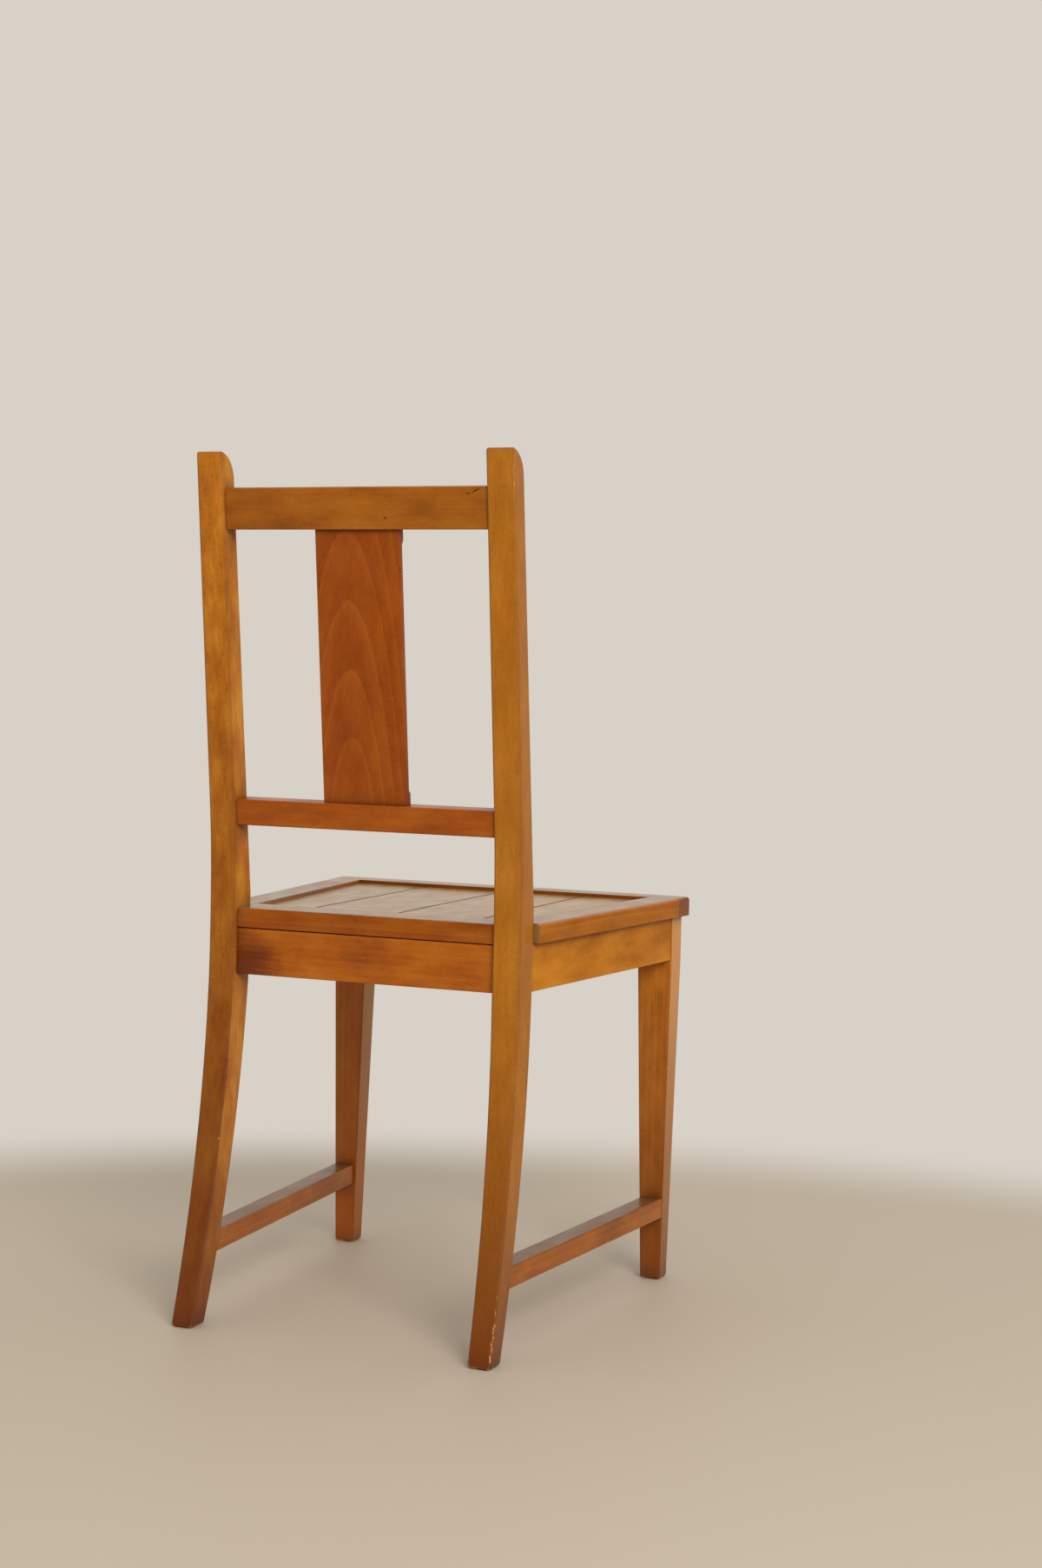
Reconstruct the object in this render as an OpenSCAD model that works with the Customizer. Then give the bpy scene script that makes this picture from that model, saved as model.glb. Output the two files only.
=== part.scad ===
// Wooden dining chair: two raked rear posts, a crest rail and a lower back rail with one wide
// splat between them, and a boarded panel seat on tapered front legs with side stretchers.
// Millimetres. Z is up, the sitter faces -Y and +X is to the sitter's left. The origin is on
// the floor, in the middle of the chair's plan. Inside the modules Y = 0 is the back face of
// the rear posts at seat height, and placed() moves the finished pieces to the origin.

/* [Overall] */
// Height from the floor to the top of the rear posts
overall_h = 920; // [780:5:1040]
// Height from the floor to the top of the seat frame
seat_h = 440; // [400:5:490]
// Width across the outer faces of the rear posts
back_w = 362; // [310:1:420]
// Width of the seat frame along its front edge
seat_front_w = 451; // [400:1:520]
// Distance from the back of the rear posts to the front edge of the seat
seat_reach = 396; // [340:1:460]

/* [Rear legs] */
// Width of a rear post, seen from the back
post_w = 31; // [26:1:40]
// Depth of a rear post at the seat
post_depth = 35; // [28:1:42]
// Depth of a rear post at its top
post_top_depth = 25; // [20:1:32]
// Width of a rear foot, seen from the back
foot_w = 25; // [18:1:31]
// Depth of a rear foot
foot_depth = 28; // [20:1:34]
// How far a rear foot is swept back behind the post at the seat
foot_sweep = 66; // [30:1:90]
// How far a rear foot stands out to the side of its post
foot_splay = 3; // [0:0.5:8]
// Height at which the backward sweep of the legs begins
sweep_top = 435; // [390:5:440]
// Angle by which the back leans from upright
rake = 5.6; // [3:0.1:8]
// Height at which the leaning back would meet the upright part of the post
bend_z = 510; // [495:1:530]
// Radius of the bend between the upright and the leaning part
bend_r = 1000; // [500:50:1050]
// Height above the seat where the front face begins to lean back
lean_start = 15; // [5:1:40]
// Radius of the rounded front corner at the top of a post
top_round_r = 30; // [26:1:45]

/* [Back rails and splat] */
// Drop from the top of the posts to the top of the crest rail
crest_drop = 38; // [20:1:70]
// Height of the crest rail
crest_h = 43.4; // [35:0.1:70]
// Thickness of the crest rail
crest_t = 20; // [16:0.5:23]
// How far the back of the crest rail lies in from the back of the posts
crest_inset = 3; // [0:0.5:4]
// Clear gap from the seat to the lower back rail
lower_gap = 88; // [75:1:140]
// Height of the lower back rail
lower_h = 27.6; // [22:0.1:45]
// Thickness of the lower back rail
lower_t = 23; // [16:0.5:24]
// How far the back of the lower rail lies in from the back of the posts
lower_inset = 3.5; // [0:0.5:4]
// Width of the splat
splat_w = 96.5; // [60:0.5:150]
// Thickness of the splat
splat_t = 10; // [8:0.5:13]
// Size of the stopped chamfer along the splat's front edges
splat_chamfer = 3.5; // [1:0.5:5]
// Length left square at each end of the splat's chamfers
chamfer_stop = 16; // [8:1:40]

/* [Seat frame] */
// Thickness of the seat frame
seat_t = 21; // [18:0.5:26]
// How far the seat stands out beyond each rear post
side_overhang = 6.3; // [2:0.1:12]
// Width of the front rail of the seat frame
front_rail_w = 34; // [30:1:60]
// Width of the rear rail of the seat frame
rear_rail_w = 46; // [42:1:70]
// How far the rear rail and the rear apron lie in from the back of the posts
rear_inset = 5; // [2:0.5:8]
// Radius of the front corners of the seat, seen from above
corner_r = 8; // [3:0.5:20]

/* [Seat boards] */
// How far the boards lie below the top of the frame
board_drop = 4; // [1:0.5:6]
// Thickness of a seat board
board_t = 12; // [10:0.5:14]
// Width of the two middle boards
board_w = 100; // [60:0.5:115]
// How far the run of boards sits to the sitter's right of the centre line
board_offset = 3; // [0:0.5:8]
// Depth of the V-groove where two boards meet
vee_depth = 1.6; // [0.5:0.1:2.5]
// Gap between two boards
board_gap = 0.3; // [0.2:0.1:1]
// Thickness of the tongues on the boards
tongue_t = 5; // [4:0.5:6]
// Length of the tongues on the boards
tongue_len = 6; // [4:0.5:8]

/* [Aprons] */
// Height of the aprons under the seat
apron_h = 50; // [40:1:80]
// Thickness of the aprons
apron_t = 20; // [16:0.5:24]
// How far the aprons lie in from the outer faces of the legs
apron_inset = 1.5; // [0:0.5:4]

/* [Front legs] */
// Width of a front leg at its top, seen from the front
front_leg_w = 41; // [32:1:50]
// Depth of a front leg at its top
front_leg_depth = 33; // [28:1:45]
// Width of a front foot
front_foot_w = 24; // [18:0.5:34]
// Depth of a front foot
front_foot_depth = 23.5; // [18:0.5:34]
// How far the outer face of a front leg leans in by the floor
front_outer_taper = 6; // [0:0.5:10]
// How far the seat stands out beyond the side of a front leg
front_leg_inset = 8.2; // [3:0.1:15]
// How far the seat stands out beyond the front of a front leg
front_overhang = 4; // [0:0.5:20]

/* [Side stretchers] */
// Height of the top of the side stretchers above the floor
stretcher_top = 95; // [70:1:200]
// Height of a side stretcher
stretcher_h = 23; // [18:0.5:32]
// Width of a side stretcher
stretcher_w = 24.5; // [16:0.5:25]
// How far a side stretcher lies in from the outer faces of the legs
stretcher_inset = 0.5; // [0:0.5:3]

/* [Joints] */
// Clearance on each side of a tenon, tongue or screw
fit = 0.15; // [0.05:0.05:0.4]
// Clearance at the end of a tenon or tongue
end_gap = 1; // [0.5:0.1:2]
// Thickness of the tenons of rails, aprons and stretchers
tenon_t = 8; // [6:0.5:9]
// Length of the tenons on the back rails and the rear and front aprons
tenon_len = 15; // [10:0.5:17]
// Length of the tenons on the side stretchers and on the front of the side aprons
side_tenon_len = 12.5; // [8:0.5:13]
// Wood left between the two tenons that meet in a rear post
tenon_wall = 3.5; // [1.5:0.5:5]
// Shoulder above and below a tenon
tenon_shoulder = 6; // [4:0.5:8]
// Length of the tenons on the splat
splat_tenon_len = 9; // [6:0.5:11]
// Thickness of the tenons on the splat
splat_tenon_t = 6; // [4:0.5:7]
// Length of the tenons on the side rails of the seat frame
frame_tenon_len = 22; // [14:1:25]

/* [Blocks and screws] */
// Length of a corner block along each apron
block_len = 50; // [35:1:60]
// Height of a corner block
block_h = 30; // [20:1:38]
// Diameter of a screw shank
screw_d = 4; // [3:0.5:5]
// Diameter of a screw head
screw_head_d = 8; // [6:0.5:9]
// Height of the countersunk part of a screw head
screw_head_h = 2.6; // [2:0.1:4]
// Depth of wood between a block's screw head and its apron
block_grip = 12; // [8:0.5:14]
// Depth that a block's screw goes into its apron
block_bite = 12; // [8:0.5:16]
// Distance of the block screws from the face of the leg
block_screw_at = 30; // [22:1:40]
// Distance of the seat screws from the centre line
seat_screw_x = 90; // [50:1:120]
// Depth of the pocket for a seat screw's head in the bottom of an apron
seat_pocket = 20; // [8:1:30]
// Depth that a seat screw goes into the seat frame
seat_bite = 15; // [10:1:17]

/* [Hidden] */

// Heights
seat_bottom = seat_h - seat_t;
apron_bottom = seat_bottom - apron_h;
board_top = seat_h - board_drop;
board_bottom = board_top - board_t;
tongue_mid = board_bottom + board_t / 2;
stretcher_bottom = stretcher_top - stretcher_h;
stretcher_mid = stretcher_top - stretcher_h / 2;
crest_mid = overall_h - crest_drop - crest_h / 2;
lower_mid = seat_h + lower_gap + lower_h / 2;
lean_z = seat_h + lean_start;

// Rear legs, seen from the back
post_out = back_w / 2;
post_in = post_out - post_w;
foot_out = post_out + foot_splay;
foot_in = foot_out - foot_w;

// Rear legs, seen from the side
front_sweep = foot_sweep - foot_depth + post_depth;
bend_lo = bend_z - bend_r * tan(rake / 2);
bend_hi = bend_lo + bend_r * sin(rake);
top_back_y = (overall_h - bend_z) * tan(rake);
top_front_y = top_back_y - post_top_depth;
sweep_steps = 14;
bend_steps = 6;
round_steps = 10;
corner_steps = 8;

// Plan of the seat: its half width at the rear posts and at the front edge
seat_rear_x = post_out + side_overhang;
seat_front_x = seat_front_w / 2;
side_rail_w = post_w + side_overhang;
rear_rail_front = -rear_inset - rear_rail_w;
front_rail_rear = -seat_reach + front_rail_w;

// Centre of the seat's rounded front corner
seat_angle = atan((seat_front_x - seat_rear_x) / (seat_reach - post_depth));
corner_y = -seat_reach + corner_r;
corner_x = seat_edge_x(corner_y) - corner_r / cos(seat_angle);

// Front legs
leg_front_y = -seat_reach + front_overhang;
leg_rear_y = leg_front_y + front_leg_depth;
front_out = seat_edge_x((leg_front_y + leg_rear_y) / 2) - front_leg_inset;
front_in = front_out - front_leg_w;
front_foot_out = front_out - front_outer_taper;
front_foot_in = front_foot_out - front_foot_w;

// Aprons
rear_apron_y = -rear_inset - apron_t;
front_apron_y = leg_front_y + apron_inset;
side_apron_t = apron_t / cos(splay_angle(apron_x(-post_depth), apron_x(leg_rear_y)));
rear_joint_len = post_depth - rear_inset - (apron_t + tenon_t) / 2 - tenon_wall;
tenon_z0 = apron_bottom + tenon_shoulder;
tenon_h = apron_h - 2 * tenon_shoulder;

// Edges of the seat boards, from the sitter's left to right
board_edges = [board_w - board_offset, -board_offset, -board_w - board_offset];

// Moves the chair so that the middle of its plan is at the origin
y_shift = (seat_reach - max(foot_sweep, top_back_y)) / 2;

// A margin for cutting tools that pass right through
past = 60;

$fn = 48;

// ---- plan and profile rules ----

// Value at t on the straight line from (t0, v0) to (t1, v1)
function line(t, t0, v0, t1, v1) = v0 + (v1 - v0) * (t - t0) / (t1 - t0);

// Half width of the seat's outer edge and of its inner edge, at y
function seat_edge_x(y) = line(y, -post_depth, seat_rear_x, -seat_reach, seat_front_x);
function seat_inner_x(y) = seat_edge_x(y) - side_rail_w;

// Outer face of the side aprons at y
function apron_x(y) = line(y, -post_depth, post_out - apron_inset, leg_rear_y, front_out - apron_inset);
function apron_in_x(y) = apron_x(y) - side_apron_t;
function splay_angle(x_rear, x_front) = atan((x_front - x_rear) / (-post_depth - leg_rear_y));

// Outer and inner faces of the rear legs at height z, and the outer face of the front legs
function leg_out_x(z) = z > apron_bottom ? post_out : line(z, 0, foot_out, apron_bottom, post_out);
function front_out_x(z) = z > apron_bottom ? front_out : line(z, 0, front_foot_out, apron_bottom, front_out);

// Depth of an arc that starts upright at height top and reaches depth s at the floor
function arc_radius(top, s) = (top * top + s * s) / (2 * s);
function swept(z, s) = arc_radius(sweep_top, s) - sqrt(pow(arc_radius(sweep_top, s), 2) - pow(sweep_top - z, 2));

// Back face of the rear legs at height z, and its lean
function leg_back_y(z) =
    z < sweep_top ? swept(z, foot_sweep) :
    z < bend_lo ? 0 :
    z < bend_hi ? bend_r - sqrt(bend_r * bend_r - pow(z - bend_lo, 2)) :
    (z - bend_z) * tan(rake);
function back_tilt(z) =
    z < bend_lo ? 0 :
    z < bend_hi ? asin((z - bend_lo) / bend_r) :
    rake;

// Front face of the rear legs at height z, below the seat
function leg_face_y(z) = z < sweep_top ? swept(z, front_sweep) - post_depth : -post_depth;

// Outer face of the side stretchers at y
stretcher_rear_y = leg_face_y(stretcher_mid);
function stretcher_x(y) = line(y,
    stretcher_rear_y, leg_out_x(stretcher_mid) - stretcher_inset,
    leg_rear_y, front_out_x(stretcher_mid) - stretcher_inset);

// Middle of a back rail's section: its back lies inset from the posts at height z
function rail_centre(z, inset, t) = [
    leg_back_y(z) - (inset + t / 2) * cos(back_tilt(z)),
    z + (inset + t / 2) * sin(back_tilt(z))
];
crest_centre = rail_centre(crest_mid, crest_inset, crest_t);
lower_centre = rail_centre(lower_mid, lower_inset, lower_t);
splat_axis = crest_centre - lower_centre;
splat_tilt = atan2(splat_axis[0], splat_axis[1]);
splat_span = norm(splat_axis);

// Rounded top of a post: an arc that leaves the front face smoothly and ends at the back corner
lean_run = [top_front_y + post_depth, overall_h - lean_z];
lean_dir = lean_run / norm(lean_run);
lean_normal = [lean_dir[1], -lean_dir[0]];
corner_from = [top_back_y + post_depth, overall_h - lean_z];
corner_along = corner_from * lean_dir;
corner_out = corner_from * lean_normal;
round_start = corner_along - sqrt(2 * top_round_r * corner_out - corner_out * corner_out);
round_sweep = acos((top_round_r - corner_out) / top_round_r);
function round_point(a) = [-post_depth, lean_z]
    + lean_dir * (round_start + top_round_r * sin(a))
    + lean_normal * (top_round_r - top_round_r * cos(a));

// ---- helpers ----

// Moves a finished piece into the chair's own frame
module placed() translate([0, y_shift, 0]) children();

// Mirrors a piece to the sitter's right
module right() mirror([1, 0, 0]) children();

// Draws a piece on both sides
module both() {
    children();
    right() children();
}

// Extrudes a (y, z) outline along X, an (x, z) outline along Y, and an (x, y) outline along Z
module along_x(x0, x1) translate([x0, 0, 0]) rotate([90, 0, 90]) linear_extrude(x1 - x0) children();
module along_y(y0, y1) translate([0, y1, 0]) rotate([90, 0, 0]) linear_extrude(y1 - y0) children();
module along_z(z0, z1) translate([0, 0, z0]) linear_extrude(z1 - z0) children();

// Frames of the crest rail, the lower rail and the splat, each leaning with the back
module leaning(centre, tilt) translate([0, centre[0], centre[1]]) rotate([-tilt, 0, 0]) children();
module on_crest() leaning(crest_centre, back_tilt(crest_mid)) children();
module on_lower() leaning(lower_centre, back_tilt(lower_mid)) children();
module on_splat() leaning(lower_centre, splat_tilt) children();

// ---- rear legs ----

// Side outline of a rear leg
module leg_outline() {
    polygon(concat(
        [for (i = [0 : sweep_steps]) let (z = sweep_top * i / sweep_steps) [leg_back_y(z), z]],
        [for (i = [0 : bend_steps]) let (z = line(i, 0, bend_lo, bend_steps, bend_hi)) [leg_back_y(z), z]],
        [for (i = [0 : round_steps]) round_point(round_sweep * (1 - i / round_steps))],
        [[-post_depth, lean_z]],
        [for (i = [0 : sweep_steps]) let (z = sweep_top * (1 - i / sweep_steps)) [leg_face_y(z), z]]
    ));
}

// Space taken by the rear legs' side outline, for cutting shoulders that meet the leg's face
module leg_cutter() along_x(-past, back_w) leg_outline();

module rear_leg() {
    difference() {
        intersection() {
            along_x(post_in - past, post_out + past) leg_outline();
            along_y(-post_depth - past, foot_sweep + past) polygon([
                [foot_in, 0], [foot_out, 0], [post_out, apron_bottom], [post_out, overall_h],
                [post_in, overall_h], [post_in, apron_bottom]
            ]);
        }
        on_crest() rail_tenon(crest_h, fit);
        on_lower() rail_tenon(lower_h, fit);
        rear_apron_tenon(fit);
        side_apron_rear_tenon(fit);
        stretcher_rear_tenon(fit);
    }
}

module left_rear_leg() color("peru") placed() rear_leg();
module right_rear_leg() color("peru") placed() right() rear_leg();

// ---- back rails and splat ----

// Left tenon of a back rail of height h. A grow above 0 gives the mortise for it
module rail_tenon(h, grow) {
    tall = h - 2 * tenon_shoulder + 2 * grow;
    thick = tenon_t + 2 * grow;
    len = tenon_len + (grow > 0 ? end_gap : 0);
    translate([post_in - 1, -thick / 2, -tall / 2]) cube([len + 1, thick, tall]);
}

// Square body of a back rail, between the posts
module rail_body(t, h) translate([-post_in, -t / 2, -h / 2]) cube([2 * post_in, t, h]);

module crest_rail() {
    color("sienna") placed() difference() {
        on_crest() {
            rail_body(crest_t, crest_h);
            both() rail_tenon(crest_h, 0);
        }
        on_splat() splat_tenon(splat_span - crest_h / 2, 1, fit);
    }
}

module lower_back_rail() {
    color("sienna") placed() difference() {
        on_lower() {
            rail_body(lower_t, lower_h);
            both() rail_tenon(lower_h, 0);
        }
        on_splat() splat_tenon(lower_h / 2, -1, fit);
    }
}

// Tenon of the splat that leaves the shoulder at height z, upwards (1) or downwards (-1)
module splat_tenon(z, way, grow) {
    wide = splat_w - 2 * tenon_shoulder + 2 * grow;
    thick = splat_tenon_t + 2 * grow;
    len = splat_tenon_len + (grow > 0 ? end_gap : 0);
    translate([-wide / 2, -thick / 2, way > 0 ? z - 1 : z - len]) cube([wide, thick, len + 1]);
}

// Stopped chamfers along the splat's two front edges
module splat_chamfers() {
    z0 = lower_h / 2 + chamfer_stop;
    z1 = splat_span - crest_h / 2 - chamfer_stop;
    both() translate([splat_w / 2, -splat_t / 2, z0]) linear_extrude(z1 - z0) polygon([
        [-splat_chamfer - 1, -1], [1, splat_chamfer + 1], [1, -1]
    ]);
}

module back_splat() {
    color("chocolate") placed() {
        difference() {
            on_splat() translate([-splat_w / 2, -splat_t / 2, 0]) cube([splat_w, splat_t, splat_span]);
            on_crest() rail_body(crest_t, crest_h);
            on_lower() rail_body(lower_t, lower_h);
            on_splat() splat_chamfers();
        }
        on_splat() splat_tenon(splat_span - crest_h / 2, 1, 0);
        on_splat() splat_tenon(lower_h / 2, -1, 0);
    }
}

// ---- front legs ----

module front_leg() {
    difference() {
        intersection() {
            along_y(leg_front_y - past, leg_rear_y + past) polygon([
                [front_foot_in, 0], [front_foot_out, 0], [front_out, apron_bottom],
                [front_out, seat_bottom], [front_in, seat_bottom], [front_in, apron_bottom]
            ]);
            along_x(front_foot_in - past, front_out + past) polygon([
                [leg_rear_y - front_foot_depth, 0], [leg_rear_y, 0], [leg_rear_y, seat_bottom],
                [leg_front_y, seat_bottom], [leg_front_y, apron_bottom]
            ]);
        }
        front_apron_tenon(fit);
        side_apron_front_tenon(fit);
        stretcher_front_tenon(fit);
    }
}

module left_front_leg() color("peru") placed() front_leg();
module right_front_leg() color("peru") placed() right() front_leg();

// ---- aprons ----

// Left tenon of a straight apron whose end is at x and whose outer face is at y
module apron_tenon(x, y, grow) {
    len = tenon_len + (grow > 0 ? end_gap : 0);
    translate([x - 1, y + (apron_t - tenon_t) / 2 - grow, tenon_z0 - grow])
        cube([len + 1, tenon_t + 2 * grow, tenon_h + 2 * grow]);
}

module rear_apron_tenon(grow) apron_tenon(post_in, rear_apron_y, grow);
module front_apron_tenon(grow) apron_tenon(front_in, front_apron_y, grow);

// Hole up through an apron for a seat screw, with its pocket
module seat_screw_hole(y) {
    both() translate([seat_screw_x, y, apron_bottom]) {
        translate([0, 0, -1]) cylinder(d = screw_head_d + 4 * fit, h = seat_pocket + 1);
        cylinder(d = screw_d + 2 * fit, h = apron_h + 1);
        translate([0, 0, seat_pocket]) screw_head(fit);
    }
}

module rear_apron() {
    color("sienna") placed() difference() {
        union() {
            translate([-post_in, rear_apron_y, apron_bottom]) cube([2 * post_in, apron_t, apron_h]);
            both() rear_apron_tenon(0);
        }
        seat_screw_hole(rear_apron_y + apron_t / 2);
        both() block_screw_hole_y(post_in - block_screw_at, rear_apron_y, 1);
    }
}

module front_apron() {
    color("sienna") placed() difference() {
        union() {
            translate([-front_in, front_apron_y, apron_bottom]) cube([2 * front_in, apron_t, apron_h]);
            both() front_apron_tenon(0);
        }
        seat_screw_hole(front_apron_y + apron_t / 2);
        both() block_screw_hole_y(front_in - block_screw_at, front_apron_y + apron_t, -1);
    }
}

// Strip of the side apron's plan between y0 and y1, with inset from each face
module side_apron_plan(y0, y1, inset) {
    polygon([
        [apron_x(y0) - inset, y0], [apron_x(y1) - inset, y1],
        [apron_in_x(y1) + inset, y1], [apron_in_x(y0) + inset, y0]
    ]);
}

// Tenon at one end of the left side apron, between y0 and y1
module side_apron_tenon(y0, y1, grow) {
    along_z(tenon_z0 - grow, tenon_z0 + tenon_h + grow)
        side_apron_plan(y0, y1, (side_apron_t - tenon_t) / 2 - grow);
}

module side_apron_rear_tenon(grow) {
    side_apron_tenon(-post_depth - 1, -post_depth + rear_joint_len + (grow > 0 ? end_gap : 0), grow);
}

module side_apron_front_tenon(grow) {
    side_apron_tenon(leg_rear_y - side_tenon_len - (grow > 0 ? end_gap : 0), leg_rear_y + 1, grow);
}

module side_apron() {
    difference() {
        along_z(apron_bottom, seat_bottom) side_apron_plan(leg_rear_y, 0, 0);
        leg_cutter();
        block_screw_hole_x(-post_depth - block_screw_at);
        block_screw_hole_x(leg_rear_y + block_screw_at);
    }
    side_apron_rear_tenon(0);
    side_apron_front_tenon(0);
}

module left_side_apron() color("peru") placed() side_apron();
module right_side_apron() color("peru") placed() right() side_apron();

// ---- side stretchers ----

// Strip of the stretcher's plan between y0 and y1, with inset from each face
module stretcher_plan(y0, y1, inset) {
    polygon([
        [stretcher_x(y0) - inset, y0], [stretcher_x(y1) - inset, y1],
        [stretcher_x(y1) - stretcher_w + inset, y1], [stretcher_x(y0) - stretcher_w + inset, y0]
    ]);
}

// Tenon at one end of the left stretcher, between y0 and y1
module stretcher_tenon(y0, y1, grow) {
    shoulder = tenon_shoulder / 2;
    along_z(stretcher_bottom + shoulder - grow, stretcher_top - shoulder + grow)
        stretcher_plan(y0, y1, (stretcher_w - tenon_t) / 2 - grow);
}

module stretcher_rear_tenon(grow) {
    y = stretcher_rear_y;
    stretcher_tenon(y - side_tenon_len, y + side_tenon_len + (grow > 0 ? end_gap : 0), grow);
}

module stretcher_front_tenon(grow) {
    stretcher_tenon(leg_rear_y - side_tenon_len - (grow > 0 ? end_gap : 0), leg_rear_y + 1, grow);
}

module side_stretcher() {
    difference() {
        along_z(stretcher_bottom, stretcher_top) stretcher_plan(leg_rear_y, stretcher_rear_y + post_depth / 2, 0);
        leg_cutter();
    }
    stretcher_rear_tenon(0);
    stretcher_front_tenon(0);
}

module left_stretcher() color("sienna") placed() side_stretcher();
module right_stretcher() color("sienna") placed() right() side_stretcher();

// ---- seat frame ----

// Groove for the tongues: an (x, y) outline cut at the height of the tongues
module groove() along_z(tongue_mid - tongue_t / 2 - fit, tongue_mid + tongue_t / 2 + fit) children();
module tongue() along_z(tongue_mid - tongue_t / 2, tongue_mid + tongue_t / 2) children();

// Strip along the seat's left inner edge from y0 to y1, from in_by inside it to out_by outside it
module inner_edge_strip(y0, y1, in_by, out_by) {
    polygon([
        [seat_inner_x(y0) - in_by, y0], [seat_inner_x(y1) - in_by, y1],
        [seat_inner_x(y1) + out_by, y1], [seat_inner_x(y0) + out_by, y0]
    ]);
}

// Pilot holes for the seat screws, from below
module seat_pilot(y) {
    both() translate([seat_screw_x, y, seat_bottom - 1])
        cylinder(d = screw_d + 2 * fit, h = seat_bite + end_gap + 1);
}

module seat_rear_rail() {
    groove_len = tongue_len + end_gap;
    color("sienna") placed() {
        difference() {
            along_z(seat_bottom, seat_h) polygon([
                [post_in, -rear_inset], [post_in, -post_depth],
                [seat_inner_x(rear_rail_front), rear_rail_front],
                [-seat_inner_x(rear_rail_front), rear_rail_front],
                [-post_in, -post_depth], [-post_in, -rear_inset]
            ]);
            groove() translate([-seat_inner_x(rear_rail_front), rear_rail_front - 1])
                square([2 * seat_inner_x(rear_rail_front), groove_len + 1]);
            seat_pilot(rear_apron_y + apron_t / 2);
        }
        both() tongue() inner_edge_strip(rear_rail_front + groove_len + 1, -post_depth - fit, 1, tongue_len);
    }
}

// Plan of the left half of the front rail, with its rounded front corner
module front_rail_half() {
    polygon(concat(
        [[0, -seat_reach], [0, front_rail_rear], [seat_edge_x(front_rail_rear), front_rail_rear]],
        [for (i = [0 : corner_steps]) let (a = line(i, 0, seat_angle, corner_steps, -90))
            [corner_x + corner_r * cos(a), corner_y + corner_r * sin(a)]]
    ));
}

// Tenon at the front of the left side rail
module frame_tenon(grow) {
    shoulder = tenon_shoulder + 2;
    y0 = front_rail_rear - frame_tenon_len - (grow > 0 ? end_gap : 0);
    y1 = front_rail_rear + 1;
    along_z(tongue_mid - tenon_t / 2 - grow, tongue_mid + tenon_t / 2 + grow) polygon([
        [seat_inner_x(y0) + shoulder - grow, y0], [seat_inner_x(y1) + shoulder - grow, y1],
        [seat_edge_x(y1) - shoulder + grow, y1], [seat_edge_x(y0) - shoulder + grow, y0]
    ]);
}

module seat_front_rail() {
    groove_len = tongue_len + end_gap;
    color("peru") placed() difference() {
        both() along_z(seat_bottom, seat_h) front_rail_half();
        groove() translate([-seat_inner_x(front_rail_rear), front_rail_rear - groove_len])
            square([2 * seat_inner_x(front_rail_rear), groove_len + 1]);
        both() frame_tenon(fit);
        seat_pilot(front_apron_y + apron_t / 2);
    }
}

module seat_side_rail() {
    difference() {
        along_z(seat_bottom, seat_h) polygon([
            [seat_edge_x(0), 0], [seat_edge_x(front_rail_rear), front_rail_rear],
            [seat_inner_x(front_rail_rear), front_rail_rear], [seat_inner_x(0), 0]
        ]);
        leg_cutter();
        groove() inner_edge_strip(front_rail_rear, 0, 1, tongue_len + end_gap);
    }
    frame_tenon(0);
}

module seat_left_rail() color("peru") placed() seat_side_rail();
module seat_right_rail() color("peru") placed() right() seat_side_rail();

// ---- seat boards ----

// V-groove at x, along the whole seat
module vee(x) along_y(-seat_reach, 0) polygon([
    [x - vee_depth - 1, board_top + 1], [x, board_top - vee_depth], [x + vee_depth + 1, board_top + 1]
]);

// Groove in a board's right-hand edge at x, and the tongue of the next board that enters it
module board_groove(x) groove() translate([x - 1, -seat_reach])
    square([tongue_len + end_gap + 1, seat_reach]);
module board_tongue(x) tongue() translate([x - board_gap / 2 - 1, front_rail_rear])
    square([tongue_len + board_gap + 1, rear_rail_front - front_rail_rear]);

// Middle board between x0 and x1, with tongues into the rails at its ends
module middle_board(x0, x1) {
    wide = x1 - x0 - board_gap;
    long = rear_rail_front - front_rail_rear;
    difference() {
        union() {
            translate([x0 + board_gap / 2, front_rail_rear + fit, board_bottom])
                cube([wide, long - 2 * fit, board_t]);
            tongue() translate([x0 + board_gap / 2, front_rail_rear - tongue_len])
                square([wide, long + 2 * tongue_len]);
        }
        vee(x0);
        vee(x1);
        board_groove(x0);
    }
    board_tongue(x1);
}

// Outer board from x0 to the tapered inner edge of the left side rail
module outer_board(x0) {
    y0 = front_rail_rear;
    y1 = rear_rail_front;
    x = x0 + board_gap / 2;
    difference() {
        union() {
            along_z(board_bottom, board_top) polygon([
                [x, y0 + fit], [x, y1 - fit],
                [seat_inner_x(y1) - fit, y1 - fit], [seat_inner_x(y0) - fit, y0 + fit]
            ]);
            tongue() polygon([
                [x, y0 - tongue_len], [x, y1 + tongue_len],
                [seat_inner_x(y1) - fit, y1 + tongue_len], [seat_inner_x(y1) - fit, y1],
                [seat_inner_x(y0) - fit, y0], [seat_inner_x(y0) - fit, y0 - tongue_len]
            ]);
            tongue() inner_edge_strip(y0 + fit, y1 - fit, 1, tongue_len);
        }
        vee(x0);
    }
}

module seat_board_1() {
    color("burlywood") placed() difference() {
        outer_board(board_edges[0]);
        board_groove(board_edges[0]);
    }
}
module seat_board_2() color("burlywood") placed() middle_board(board_edges[1], board_edges[0]);
module seat_board_3() color("burlywood") placed() middle_board(board_edges[2], board_edges[1]);
module seat_board_4() {
    color("burlywood") placed() {
        right() outer_board(-board_edges[2]);
        board_tongue(board_edges[2]);
    }
}

// ---- corner blocks and screws ----

// Screw head, countersunk: its flat face is at z = 0 and it narrows upwards to the shank
module screw_head(grow) {
    cylinder(d1 = screw_head_d + 2 * grow, d2 = screw_d + 2 * grow, h = screw_head_h);
}

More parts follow.
